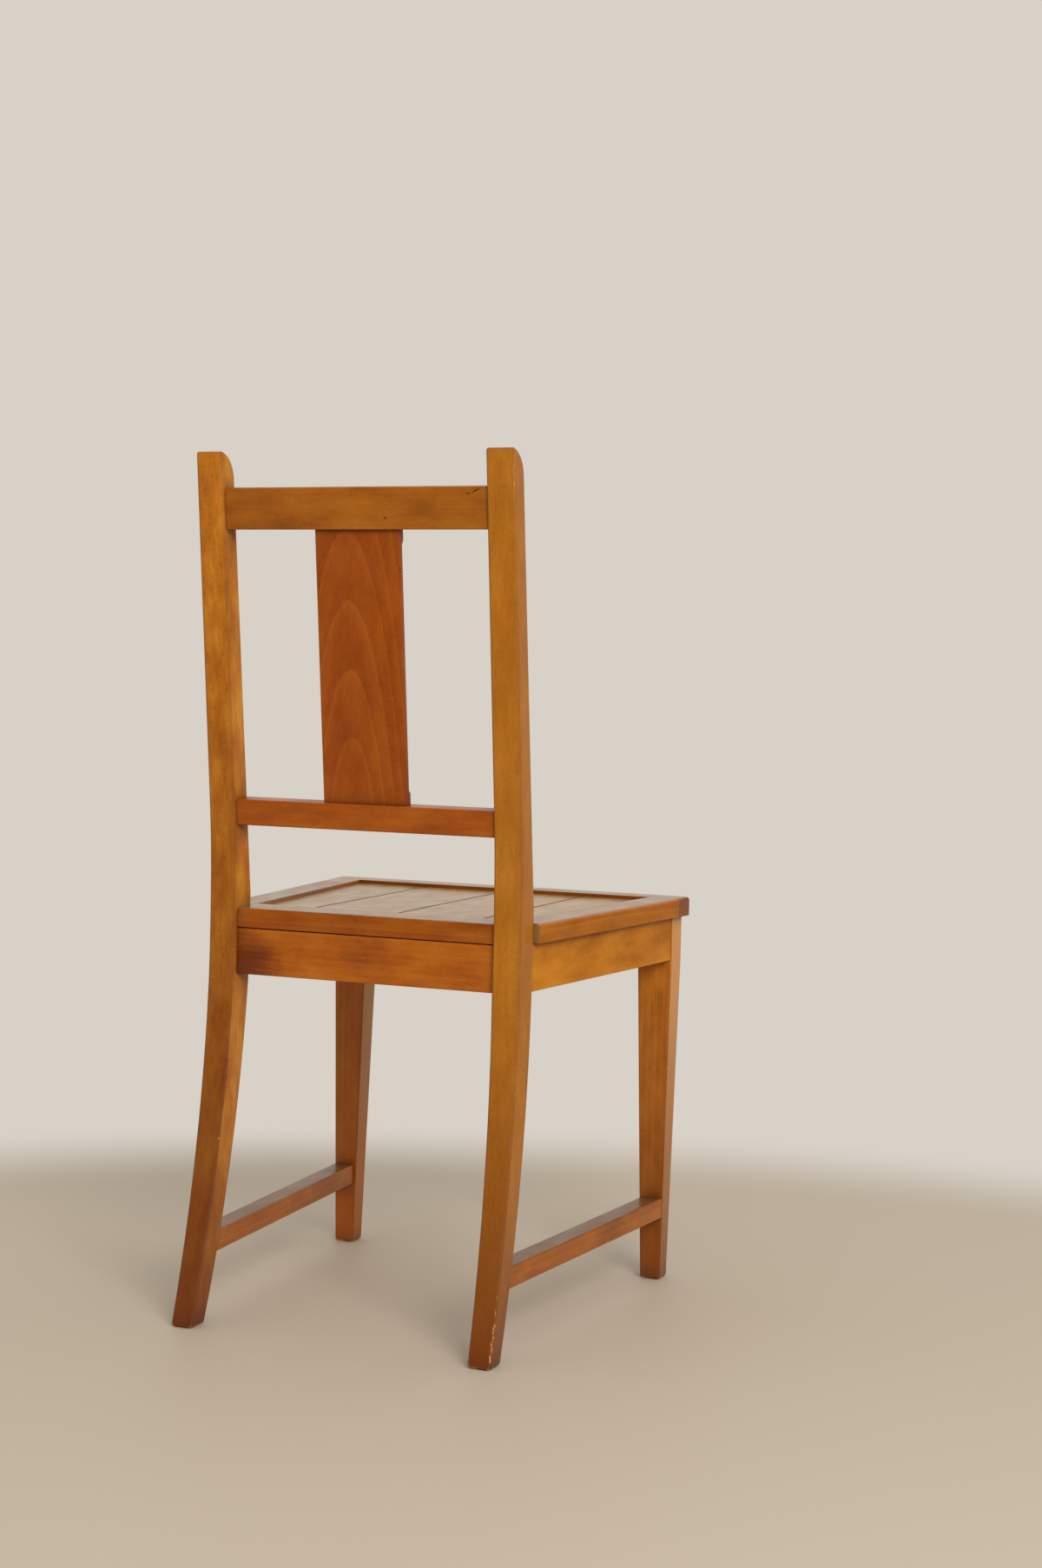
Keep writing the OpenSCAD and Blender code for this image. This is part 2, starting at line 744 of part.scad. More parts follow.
// Screw that stands on its head, pointing up, with a cross recess in the head
module screw(len) {
    recess = [screw_head_d * 0.55, 1.1, screw_head_h * 0.6];
    difference() {
        union() {
            screw_head(0);
            cylinder(d = screw_d, h = len - screw_d);
            translate([0, 0, len - screw_d]) cylinder(d1 = screw_d, d2 = 1, h = screw_d);
        }
        for (a = [0, 90]) rotate([0, 0, a]) translate([-recess[0] / 2, -recess[1] / 2, -1])
            cube([recess[0], recess[1], recess[2] + 1]);
    }
}

// Space for a screw: its head's pocket, its head and its shank
module screw_space(len) {
    translate([0, 0, -past]) cylinder(d = screw_head_d + 4 * fit, h = past);
    screw_head(fit);
    cylinder(d = screw_d + 2 * fit, h = len + end_gap);
}

block_mid_z = seat_bottom - block_h / 2;
block_screw_len = block_grip + block_bite;

// Frames of the two screws of a left block: along Y into a straight apron, along X into a side one
module to_apron_y(x, y, way) translate([x, y - way * block_grip, block_mid_z]) rotate([-90 * way, 0, 0]) children();
module to_apron_x(y) translate([apron_in_x(y) - block_grip, y, block_mid_z]) rotate([0, 90, 0]) children();
module block_screw_hole_y(x, y, way) to_apron_y(x, y, way) screw_space(block_screw_len);
module block_screw_hole_x(y) to_apron_x(y) screw_space(block_screw_len);

// Left block in the corner between a straight apron at apron_y and the side apron. The leg's
// corner is at (leg_x, leg_y) and way is 1 at the rear and -1 at the front
module corner_block(leg_x, leg_y, apron_y, way) {
    near = leg_y - way * 2 * fit;
    far = leg_y - way * block_len;
    difference() {
        along_z(seat_bottom - block_h, seat_bottom) polygon([
            [leg_x - block_len, apron_y], [leg_x - 2 * fit, apron_y], [leg_x - 2 * fit, near],
            [apron_in_x(near), near], [apron_in_x(far), far]
        ]);
        block_screw_hole_y(leg_x - block_screw_at, apron_y, way);
        block_screw_hole_x(leg_y - way * block_screw_at);
    }
}

module rear_block() corner_block(post_in, -post_depth, rear_apron_y, 1);
module front_block() corner_block(front_in, leg_rear_y, front_apron_y + apron_t, -1);

module rear_left_block() color("tan") placed() rear_block();
module rear_right_block() color("tan") placed() right() rear_block();
module front_left_block() color("tan") placed() front_block();
module front_right_block() color("tan") placed() right() front_block();

module block_screws() {
    color("silver") placed() both() {
        to_apron_y(post_in - block_screw_at, rear_apron_y, 1) screw(block_screw_len);
        to_apron_y(front_in - block_screw_at, front_apron_y + apron_t, -1) screw(block_screw_len);
        to_apron_x(-post_depth - block_screw_at) screw(block_screw_len);
        to_apron_x(leg_rear_y + block_screw_at) screw(block_screw_len);
    }
}

module seat_screws() {
    color("silver") placed() both() for (y = [rear_apron_y, front_apron_y])
        translate([seat_screw_x, y + apron_t / 2, apron_bottom + seat_pocket])
            screw(apron_h - seat_pocket + seat_bite);
}

left_rear_leg();
right_rear_leg();
left_front_leg();
right_front_leg();
crest_rail();
lower_back_rail();
back_splat();
rear_apron();
front_apron();
left_side_apron();
right_side_apron();
left_stretcher();
right_stretcher();
seat_rear_rail();
seat_front_rail();
seat_left_rail();
seat_right_rail();
seat_board_1();
seat_board_2();
seat_board_3();
seat_board_4();
rear_left_block();
rear_right_block();
front_left_block();
front_right_block();
block_screws();
seat_screws();
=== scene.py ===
import math

import bpy
from mathutils import Euler, Matrix, Vector


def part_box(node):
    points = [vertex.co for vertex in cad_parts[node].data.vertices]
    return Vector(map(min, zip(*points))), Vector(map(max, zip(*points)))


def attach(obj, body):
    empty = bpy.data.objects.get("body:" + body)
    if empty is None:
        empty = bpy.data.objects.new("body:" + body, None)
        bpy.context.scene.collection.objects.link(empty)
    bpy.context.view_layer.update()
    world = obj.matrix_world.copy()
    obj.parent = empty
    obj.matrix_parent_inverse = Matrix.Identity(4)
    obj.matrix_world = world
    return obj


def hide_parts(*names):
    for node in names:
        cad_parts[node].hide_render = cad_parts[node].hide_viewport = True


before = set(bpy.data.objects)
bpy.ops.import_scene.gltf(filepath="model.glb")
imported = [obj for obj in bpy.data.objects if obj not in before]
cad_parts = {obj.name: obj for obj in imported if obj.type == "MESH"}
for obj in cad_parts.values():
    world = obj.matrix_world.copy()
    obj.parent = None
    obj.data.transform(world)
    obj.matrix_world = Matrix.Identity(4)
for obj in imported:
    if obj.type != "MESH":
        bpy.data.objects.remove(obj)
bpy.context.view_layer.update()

# ---- Rear legs ----
# Each rear leg is one length of beech from the floor to the top of the back, bandsawn to a
# sweep below the seat and a rake above it. Its edges are eased by hand and it is varnished.


def alone(piece):
    """Leaves only this piece selected, and active."""
    bpy.ops.object.select_all(action="DESELECT")
    piece.select_set(True)
    bpy.context.view_layer.objects.active = piece


def block(name, low, high, turn=(0, 0, 0)):
    """Adds a block between two corners, turned about its middle, with its place in its mesh."""
    bpy.ops.object.select_all(action="DESELECT")
    middle = [(a + b) / 2 for a, b in zip(low, high)]
    bpy.ops.mesh.primitive_cube_add(size=1, location=middle, rotation=turn)
    piece = bpy.context.object
    piece.name = piece.data.name = name
    piece.scale = [b - a for a, b in zip(low, high)]
    bpy.ops.object.transform_apply(location=True, rotation=True, scale=True)
    return piece


def pick(piece, wanted):
    """Opens the piece in edit mode, with only the faces picked that pass wanted(centre, normal)."""
    alone(piece)
    bpy.ops.object.mode_set(mode="EDIT")
    bpy.ops.mesh.select_mode(type="FACE")
    bpy.ops.mesh.select_all(action="DESELECT")
    bpy.ops.object.mode_set(mode="OBJECT")
    for face in piece.data.polygons:
        face.select = wanted(face.center, face.normal)
    bpy.ops.object.mode_set(mode="EDIT")


def push(move):
    """Extrudes the picked faces by move."""
    bpy.ops.mesh.extrude_region_move(TRANSFORM_OT_translate={"value": move})


def stretch(ratio, about):
    """Scales the picked faces about a point."""
    bpy.ops.transform.resize(value=ratio, center_override=about)


def done():
    """Leaves edit mode."""
    bpy.ops.object.mode_set(mode="OBJECT")


def ease(piece, radius, steps=3, wanted=lambda middle: True, sharp=30):
    """Rounds the sharp edges whose middle is wanted, and marks the rounded wood as arris."""
    alone(piece)
    mesh = piece.data
    bpy.ops.object.mode_set(mode="EDIT")
    bpy.ops.mesh.select_mode(type="EDGE")
    bpy.ops.mesh.select_all(action="DESELECT")
    bpy.ops.mesh.edges_select_sharp(sharpness=math.radians(sharp))
    done()
    for edge in mesh.edges:
        if edge.select:
            ends = [mesh.vertices[v].co for v in edge.vertices]
            edge.select = wanted((ends[0] + ends[1]) / 2)
    for face in mesh.polygons:
        face.select = False
    for vertex in mesh.vertices:
        vertex.select = False
    for edge in mesh.edges:
        if edge.select:
            for v in edge.vertices:
                mesh.vertices[v].select = True
    bpy.ops.object.mode_set(mode="EDIT")
    bpy.ops.mesh.bevel(offset=radius, segments=steps, affect="EDGES", clamp_overlap=True)
    bpy.ops.mesh.select_mode(type="FACE")
    done()
    arris = mesh.attributes.get("arris") or mesh.attributes.new("arris", "FLOAT", "POINT")
    inside = {v for face in mesh.polygons if face.select for v in face.vertices}
    inside -= {v for face in mesh.polygons if not face.select for v in face.vertices}
    for v in inside:
        arris.data[v].value = 1


def smooth(piece):
    """Shades the rounded edges smooth, with the wide faces kept flat and the cut ones crisp."""
    alone(piece)
    bpy.ops.object.shade_smooth_by_angle(angle=math.radians(50))
    modifier = piece.modifiers.new("flat faces", "WEIGHTED_NORMAL")
    modifier.mode = "FACE_AREA"
    modifier.weight = 80
    modifier.keep_sharp = True
    bpy.ops.object.modifier_apply(modifier=modifier.name)


def mirrored(piece, name):
    """A copy of a left piece for the sitter's right, with its own mesh and its faces outwards."""
    alone(piece)
    bpy.ops.object.duplicate()
    twin = bpy.context.object
    twin.name = twin.data.name = name
    bpy.ops.object.mode_set(mode="EDIT")
    bpy.ops.mesh.select_all(action="SELECT")
    stretch((-1, 1, 1), (0, 0, 0))
    bpy.ops.mesh.normals_make_consistent(inside=False)
    done()
    return twin


def cut(piece, cutter):
    """Takes the cutter's shape out of the piece."""
    alone(piece)
    modifier = piece.modifiers.new("cut", "BOOLEAN")
    modifier.object = cutter
    modifier.solver = "EXACT"
    bpy.ops.object.modifier_apply(modifier=modifier.name)
    bpy.data.objects.remove(cutter)


def chip(piece, at, size, turn, second):
    """Breaks a splinter out of the piece, and leaves its second material where it broke."""
    bpy.ops.object.select_all(action="DESELECT")
    bpy.ops.mesh.primitive_ico_sphere_add(subdivisions=1, radius=0.5, location=at, rotation=turn)
    splinter = bpy.context.object
    splinter.scale = size
    bpy.ops.object.transform_apply(location=True, rotation=True, scale=True)
    for face in splinter.data.polygons:
        face.material_index = 1
    for _ in range(2):
        splinter.data.materials.append(second)
    cut(piece, splinter)


def fit_in(piece, node, material):
    """Finishes a piece: it is varnished, rides with the chair and takes its CAD node's place."""
    smooth(piece)
    if not piece.data.materials:
        piece.data.materials.append(material)
    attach(piece, "root")
    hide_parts(node)


def linear(colour):
    """The linear colour of an sRGB hex value."""
    parts = [int(colour[i : i + 2], 16) / 255 for i in (1, 3, 5)]
    return [c / 12.92 if c <= 0.04045 else ((c + 0.055) / 1.055) ** 2.4 for c in parts] + [1]


def put(tree, kind, inputs, **settings):
    """Adds a node with its settings. An input, by name or number, is a value or a linked output."""
    made = tree.nodes.new(kind)
    for name, value in settings.items():
        setattr(made, name, value)
    for key, value in inputs.items():
        if isinstance(value, bpy.types.NodeSocket):
            tree.links.new(value, made.inputs[key])
        else:
            made.inputs[key].default_value = value
    return made


def varnished_beech(name, grain, heart, dark, middle, light, rings=0.005, figure=0.5, cloud=0.7,
                    fine=1.0, edge=0.45, gloss=0.28, waviness=0.3, grime_and_shade=0.8, grime_and_shade_reach=0.025,
                    foot=None, foot_shade_height=0.4, lit_height=None, dust_and_sheen=None, end="#80603e",
                    varnish_ior=1.5, curls=()):
    """Beech, planed and sanded by hand, under an old satin varnish. It gives the eye soft growth
    rings, short dark ray flecks and cloudy patches under a sheen, a darker line along each arris
    with paler scuffs in it, painted shade with grime where the pieces meet, and painted shade
    towards the floor.

    grain turns the Z axis to run along the piece, and heart is a point on the middle of the tree
    that it was sawn from. dark, middle and light are the tones of the wood, and rings is the
    spacing of the growth rings. figure, cloud, fine and edge say how much the rings, the patches,
    the streaks with the flecks, and the dark lines show. gloss is the varnish's roughness,
    waviness how much the planed surface waves, and grime_and_shade how dark a corner gets with
    painted shade and grime, over grime_and_shade_reach. foot is the colour that the wood darkens
    to with painted shade, from foot_shade_height down to the floor, or from lit_height on the side
    that faces the window light, where the painted shade reaches less far up. dust_and_sheen is a
    way, and a colour laid on the wood that faces it: dust on some pieces, and a painted sheen on
    others. end is the tint of the end grain. curls are the places where the grain curls round a
    knot: a centre, how far it shows and how much darker it is."""
    material = bpy.data.materials.new(name)
    material.use_nodes = True
    tree = material.node_tree
    tree.nodes.clear()
    coordinates = put(tree, "ShaderNodeTexCoord", {})
    place = coordinates.outputs["Object"]
    height = put(tree, "ShaderNodeSeparateXYZ", {0: place}).outputs["Z"]
    log = put(
        tree, "ShaderNodeMapping", {"Vector": place, "Location": heart, "Rotation": grain},
        vector_type="TEXTURE",
    ).outputs[0]

    def along(ratio):
        """The log's coordinates, drawn out along the grain."""
        return put(tree, "ShaderNodeMapping", {"Vector": log, "Scale": (1, 1, ratio)}).outputs[0]

    def between(value, low, high, to_low, to_high):
        """The value, taken from one range to another and held inside it."""
        return put(
            tree, "ShaderNodeMapRange",
            {"Value": value, "From Min": low, "From Max": high,
             "To Min": to_low, "To Max": to_high},
        ).outputs[0]

    def times(a, b, more=0.0):
        """a times b, plus more."""
        return put(
            tree, "ShaderNodeMath", {0: a, 1: b, 2: more}, operation="MULTIPLY_ADD"
        ).outputs[0]

    def tinted(under, over, factor):
        """One colour laid over another."""
        return put(
            tree, "ShaderNodeMix", {"Factor": factor, 6: under, 7: over}, data_type="RGBA"
        ).outputs[2]

    def facing(way):
        """How squarely the surface faces a way."""
        return put(
            tree, "ShaderNodeVectorMath", {0: coordinates.outputs["Normal"], 1: way},
            operation="DOT_PRODUCT",
        ).outputs["Value"]

    # Growth rings, which wander along the trunk: a slow change of tone, then a thin line
    ring = put(
        tree, "ShaderNodeTexWave",
        {"Vector": along(0.12), "Scale": 2 * math.pi / 20 / rings, "Distortion": 3.0,
         "Detail": 2.0, "Detail Scale": 0.35, "Detail Roughness": 0.45},
        wave_type="RINGS", rings_direction="Z", wave_profile="SAW",
    ).outputs["Fac"]
    ring_line = between(ring, 0.80, 0.97, 0, 1)
    # Patches of tone about 60 mm long and 25 mm wide
    patches = put(
        tree, "ShaderNodeTexNoise",
        {"Vector": along(0.4), "Scale": 38, "Detail": 3, "Roughness": 0.6},
    ).outputs["Fac"]
    # Streaks about 1.5 mm wide
    streaks = put(
        tree, "ShaderNodeTexNoise",
        {"Vector": along(0.07), "Scale": 420, "Detail": 3, "Roughness": 0.6},
    ).outputs["Fac"]
    # Ray flecks, 1 mm by 3 mm: real ones are half as wide, which would be too fine to show
    flecks = put(
        tree, "ShaderNodeTexNoise",
        {"Vector": along(0.3), "Scale": 1000, "Detail": 1, "Roughness": 0.4},
    ).outputs["Fac"]

    # The patterns add up round the middle tone
    tone = 0.5 - 0.5 * (0.25 * figure + 1.5 * cloud + 0.3 * fine)
    for pattern, weight in (
        (ring, 0.25 * figure), (ring_line, 0.22 * figure), (patches, 1.5 * cloud),
        (streaks, 0.3 * fine), (between(flecks, 0.58, 0.68, 0, 1), -0.18 * fine),
    ):
        tone = times(pattern, weight, tone)
    curl_spacing = 0.0035
    for centre, reach, shade in curls:
        away = put(tree, "ShaderNodeVectorMath", {0: place, 1: centre}, operation="DISTANCE")
        fade = between(away.outputs["Value"], 0.35 * reach, reach, 1, 0)
        round_it = put(
            tree, "ShaderNodeMapping", {"Vector": place, "Location": centre}, vector_type="TEXTURE",
        ).outputs[0]
        curl = put(
            tree, "ShaderNodeTexWave",
            {"Vector": round_it, "Scale": 2 * math.pi / 20 / curl_spacing, "Distortion": 9.0,
             "Detail": 3.0, "Detail Scale": 0.5},
            wave_type="RINGS", rings_direction="SPHERICAL", wave_profile="SAW",
        ).outputs["Fac"]
        tone = times(fade, -shade, tone)
        tone = times(between(curl, 0.6, 0.95, 0.05, -0.25), fade, tone)
    ramp = put(tree, "ShaderNodeValToRGB", {"Fac": tone})
    ramp.color_ramp.elements[0].color = linear(dark)
    ramp.color_ramp.elements[1].color = linear(light)
    ramp.color_ramp.elements.new(0.5).color = linear(middle)
    colour = ramp.outputs[0]
    # A colour laid on the faces that look one way: dust on the stretchers' tops, and a painted sheen
    # on the seat frame's tops and on the front legs' sides that face the window light
    if dust_and_sheen:
        way, dust_and_sheen_colour = dust_and_sheen
        colour = tinted(colour, linear(dust_and_sheen_colour), between(facing(way), 0.75, 0.95, 0, 0.7))
    # Painted shade: the wood darkens towards the floor, and less far up on the side that faces the
    # window light
    if foot:
        window_side = facing((-1, 0, 0))
        top_of_foot_shade = between(window_side, 0.75, 0.95, foot_shade_height, lit_height or foot_shade_height)
        colour = tinted(colour, linear(foot), between(height, 0.0, top_of_foot_shade, 0.9, 0))
    # The ends of the grain drink more varnish and dirt, and look greyer
    end_on = facing(Euler(grain).to_matrix() @ Vector((0, 0, 1)))
    end_on = put(tree, "ShaderNodeMath", {0: end_on}, operation="ABSOLUTE").outputs[0]
    end_grain = between(end_on, 0.7, 0.9, 0, 0.5)
    colour = tinted(colour, linear(end), end_grain)

    # Painted shade and grime darken the wood towards a corner and in a gap, where little open air
    # reaches it
    open_air = put(
        tree, "ShaderNodeAmbientOcclusion", {"Distance": grime_and_shade_reach}, samples=8
    ).outputs["AO"]
    grimy_and_shaded = between(open_air, 0.97, 0.1, 0, grime_and_shade)
    colour = tinted(colour, linear("#40200c"), grimy_and_shaded)

    # Each arris is a darker line, rubbed pale in spots, and most of all at the feet
    arris = put(tree, "ShaderNodeAttribute", {}, attribute_name="arris").outputs["Fac"]
    knocks = put(
        tree, "ShaderNodeTexNoise", {"Vector": place, "Scale": 60, "Detail": 4, "Roughness": 0.6},
    ).outputs["Fac"]
    at_foot = between(height, 0.0, 0.008, 1, 0)
    knocks = times(at_foot, 0.24, knocks)
    clear = put(
        tree, "ShaderNodeMath", {0: between(open_air, 0.4, 0.7, 0, 1), 1: at_foot},
        operation="MAXIMUM",
    ).outputs[0]
    rubbed = times(times(between(knocks, 0.66, 0.72, 0, 0.6), clear), arris)
    colour = tinted(colour, linear("#5a2e10"), times(arris, edge))
    colour = tinted(colour, linear("#c8a06c"), rubbed)

    # The sheen is uneven, and duller on the ends, the arrises and where the varnish is rubbed
    haze = put(
        tree, "ShaderNodeTexNoise", {"Vector": along(0.4), "Scale": 60, "Detail": 3},
    ).outputs["Fac"]
    sheen = between(haze, 0.3, 0.7, gloss - 0.05, gloss + 0.07)
    sheen = times(rubbed, 0.2, sheen)
    sheen = times(end_grain, 0.2, sheen)
    sheen = times(arris, 0.2, sheen)
    # Hand planing leaves the surface waving by a few hundredths of a millimetre
    waves = put(
        tree, "ShaderNodeTexNoise", {"Vector": along(0.5), "Scale": 28, "Detail": 1},
    ).outputs["Fac"]
    planed = put(
        tree, "ShaderNodeBump", {"Height": waves, "Strength": waviness, "Distance": 0.0005}
    )
    grained = put(
        tree, "ShaderNodeBump",
        {"Height": streaks, "Strength": 0.05, "Distance": 0.0001, "Normal": planed.outputs[0]},
    )
    varnish = put(
        tree, "ShaderNodeBsdfPrincipled",
        {"Base Color": colour, "Roughness": sheen, "Normal": grained.outputs[0],
         "IOR": varnish_ior},
    )
    put(tree, "ShaderNodeOutputMaterial", {"Surface": varnish.outputs[0]})
    return material


along_x = (0, math.pi / 2, 0)
along_y = (-math.pi / 2, 0, 0)
along_z = (0, 0, 0)

leg_low, leg_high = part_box("left_rear_leg")
post_depth = 0.035
post_width = 0.031
post_face = leg_low[1]
post_back = post_face + post_depth
post_in = leg_low[0]
post_out = post_in + post_width
top_depth = 0.025
foot_depth = 0.028
foot_width = 0.025
apron_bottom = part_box("rear_apron")[0][2]
seat_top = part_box("seat_rear_rail")[1][2]
sweep_top = seat_top - 0.005
rake = math.radians(5.6)
bend_z = seat_top + 0.07
bend_radius = 1.0
bend_low = bend_z - bend_radius * math.tan(rake / 2)
bend_high = bend_low + bend_radius * math.sin(rake)
lean_start = seat_top + 0.015
top = leg_high[2]
top_back = post_back + (top - bend_z) * math.tan(rake)
top_round = 0.03
post_arris = 0.0026
foot_arris = 0.003


def swept(z, sweep):
    """How far an arc that is upright at sweep_top and reaches sweep at the floor has moved at z."""
    radius = (sweep_top**2 + sweep**2) / (2 * sweep)
    return radius - math.sqrt(radius**2 - (sweep_top - z) ** 2)


def leg_back(z):
    """The back face of a rear leg at height z."""
    if z < sweep_top:
        return post_back + swept(z, leg_high[1] - post_back)
    if z < bend_low:
        return post_back
    if z < bend_high:
        return post_back + bend_radius - math.sqrt(bend_radius**2 - (z - bend_low) ** 2)
    return post_back + (z - bend_z) * math.tan(rake)


def leg_face(z):
    """The front face of a rear leg at height z, before its top is rounded."""
    if z < sweep_top:
        return post_face + swept(z, leg_high[1] - foot_depth - post_face)
    if z < lean_start:
        return post_face
    return post_face + (top_back - top_depth - post_face) * (z - lean_start) / (top - lean_start)


def leg_side(z, foot, post):
    """A side face of a rear leg at height z: it tapers from the aprons to the foot."""
    return post if z > apron_bottom else foot + (post - foot) * z / apron_bottom


def leg_section(z):
    """The middle, width and depth of a rear leg at height z."""
    inner = leg_side(z, leg_high[0] - foot_width, post_in)
    outer = leg_side(z, leg_high[0], post_out)
    face, back = leg_face(z), leg_back(z)
    return ((inner + outer) / 2, (face + back) / 2, z), outer - inner, back - face


# The heights at which a leg changes course, close together where it curves
levels = [0.03 * i for i in range(13)] + [0.3895, 0.41, sweep_top, lean_start]
levels += [bend_low + (bend_high - bend_low) * i / 7 for i in range(1, 8)] + [top]
rear_leg = block(
    "left_rear_leg_wood",
    (leg_high[0] - foot_width, leg_high[1] - foot_depth, 0),
    (leg_high[0], leg_high[1], levels[1]),
)
centre, width, depth = leg_section(levels[0])
pick(rear_leg, lambda middle, normal: normal.z > 0.9)
centre = (centre[0], centre[1], levels[1])
for z in levels[1:]:
    new_centre, new_width, new_depth = leg_section(z)
    move = [b - a for a, b in zip(centre, new_centre)]
    if z == levels[1]:
        bpy.ops.transform.translate(value=move)
    else:
        push(move)
    stretch((new_width / width, new_depth / depth, 1), new_centre)
    centre, width, depth = new_centre, new_width, new_depth
done()

# The front of the top is rounded over, from the front face to the back corner
lean = math.atan2(top_back - top_depth - post_face, top - lean_start)
corner_y, corner_z = top_back - post_face, top - lean_start
corner_along = corner_y * math.sin(lean) + corner_z * math.cos(lean)
corner_out = corner_y * math.cos(lean) - corner_z * math.sin(lean)
round_start = corner_along - math.sqrt(2 * top_round * corner_out - corner_out**2)
round_sweep = math.acos((top_round - corner_out) / top_round)
facets = 12
for i in range(facets):
    angle = round_sweep * (i + 0.5) / facets
    up = round_start + top_round * math.sin(angle)
    out = top_round * (1 - math.cos(angle))
    spot = (
        post_out,
        post_face + up * math.sin(lean) + out * math.cos(lean),
        lean_start + up * math.cos(lean) - out * math.sin(lean),
    )
    outwards = (0, -math.cos(angle + lean), math.sin(angle + lean))
    alone(rear_leg)
    bpy.ops.object.mode_set(mode="EDIT")
    bpy.ops.mesh.select_all(action="SELECT")
    bpy.ops.mesh.bisect(plane_co=spot, plane_no=outwards, use_fill=True, clear_outer=True)
    done()
ease(rear_leg, foot_arris, 3, lambda middle: middle.z < 0.001)
ease(rear_leg, post_arris, 4, sharp=50)
right_rear_leg = mirrored(rear_leg, "right_rear_leg_wood")

# Both posts darken towards the floor with painted shade, the left one from 0.8 m up, and less far up
# on their sides that face the window light
left_post_beech = varnished_beech(
    "varnished beech, left post", along_z, (0.30, 0.02, 0.0),
    "#8c4608", "#c07416", "#e2a438", figure=0.15, cloud=0.9, fine=1.2, edge=0.35, foot="#602203",
    foot_shade_height=0.80, lit_height=0.22, varnish_ior=1.4,
)
right_post_beech = varnished_beech(
    "varnished beech, right post", along_z, (-0.05, 0.33, 0.3),
    "#90500e", "#b06c14", "#cc8c2c", figure=0.15, cloud=0.5, fine=1.2, edge=0.3, foot="#6c2e06",
    foot_shade_height=0.36, lit_height=0.20, varnish_ior=1.4,
)


def raw_beech(name, dark, light):
    """Beech with no varnish. It gives the eye matt torn fibres, and faint saw marks."""
    material = bpy.data.materials.new(name)
    material.use_nodes = True
    tree = material.node_tree
    tree.nodes.clear()
    place = put(tree, "ShaderNodeTexCoord", {}).outputs["Object"]
    drawn_out = put(tree, "ShaderNodeMapping", {"Vector": place, "Scale": (1, 1, 0.1)}).outputs[0]
    fibres = put(
        tree, "ShaderNodeTexNoise", {"Vector": drawn_out, "Scale": 500, "Detail": 3},
    ).outputs["Fac"]
    saw_spacing = 0.003
    sawn = put(
        tree, "ShaderNodeTexWave",
        {"Vector": place, "Scale": 2 * math.pi / 20 / saw_spacing, "Distortion": 1.5,
         "Detail Scale": 0.3},
        wave_type="BANDS", bands_direction="Z",
    ).outputs["Fac"]
    tone = put(
        tree, "ShaderNodeMath", {0: sawn, 1: 0.2, 2: fibres}, operation="MULTIPLY_ADD",
    ).outputs[0]
    tone = put(
        tree, "ShaderNodeMapRange", {"Value": tone, "From Min": 0.35, "From Max": 0.85},
    ).outputs[0]
    colour = put(
        tree, "ShaderNodeMix", {"Factor": tone, 6: linear(dark), 7: linear(light)},
        data_type="RGBA",
    ).outputs[2]
    torn = put(tree, "ShaderNodeBump", {"Height": fibres, "Strength": 0.3, "Distance": 0.0003})
    wood = put(
        tree, "ShaderNodeBsdfPrincipled",
        {"Base Color": colour, "Roughness": 0.75, "Normal": torn.outputs[0]},
    )
    put(tree, "ShaderNodeOutputMaterial", {"Surface": wood.outputs[0]})
    return material


soiled_beech = raw_beech("bare beech, soiled", "#96652f", "#cda06c")

# The right foot has been kicked: splinters are off its outer back arris. Higher up, the same
# arris is scuffed. Each has a height, a length, a depth and a lean
right_rear_leg.data.materials.append(right_post_beech)
right_rear_leg.data.materials.append(soiled_beech)
splinters = [
    (0.010 + 0.0037 * i, 0.0062 + 0.0014 * math.cos(1.7 * i), 0.0022 + 0.0009 * math.sin(2.3 * i),
     0.30 * math.sin(1.9 * i))
    for i in range(10)
]
splinters += [
    (0.053, 0.014, 0.0011, 0.02), (0.069, 0.010, 0.0012, 0.05),
    (0.884, 0.007, 0.0015, 0.0), (0.893, 0.006, 0.0016, 0.05), (0.901, 0.005, 0.0014, 0.0),
]
# How far a rounded arris lies inside its corner, and how far a splinter stands out of it
arris_in = 0.29 * post_arris
splinter_out = 0.0002
for z, long, deep, lean_over in splinters:
    arris_x = -leg_side(z, leg_high[0], post_out) + arris_in - splinter_out
    arris_y = leg_back(z) - arris_in + splinter_out
    aside = 0.0015 * lean_over
    step = 0.01
    slope = math.atan((leg_back(z + step) - leg_back(z)) / step)
    chip(
        right_rear_leg, (arris_x + aside, arris_y + aside, z), (deep, 0.8 * deep, long),
        (lean_over - slope, 0.5 * lean_over, math.radians(45)), soiled_beech,
    )
fit_in(rear_leg, "left_rear_leg", left_post_beech)
fit_in(right_rear_leg, "right_rear_leg", right_post_beech)

# ---- Crest rail ----
# A straight beech rail, square to the raked posts and let in between them on short tenons. Its
# back has a short split near the right end, and a dent below the middle.


def middle_of(node):
    """The middle of a CAD node's box."""
    return [(a + b) / 2 for a, b in zip(*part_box(node))]


def rail(name, node, thickness, height, tilt):
    """A straight rail between the posts, leaning back by tilt."""
    _, y, z = middle_of(node)
    return block(
        name,
        (-post_in, y - thickness / 2, z - height / 2),
        (post_in, y + thickness / 2, z + height / 2),
        turn=(-tilt, 0, 0),
    )


def lengthwise(middle):
    """Whether an edge with this middle runs along a rail, and isn't at its end."""
    return abs(middle.x) < 0.1


crest_thickness = 0.020
crest_height = 0.0434
rail_arris = 0.0014
crest = rail("crest_rail_wood", "crest_rail", crest_thickness, crest_height, rake)
ease(crest, rail_arris, 3, lengthwise)
crest_beech = varnished_beech(
    "varnished beech, crest rail", along_x, (0.25, 0.16, 0.77),
    "#733a0c", "#a05a10", "#b8721c", figure=0.15, cloud=0.8, fine=0.7, varnish_ior=1.4,
)


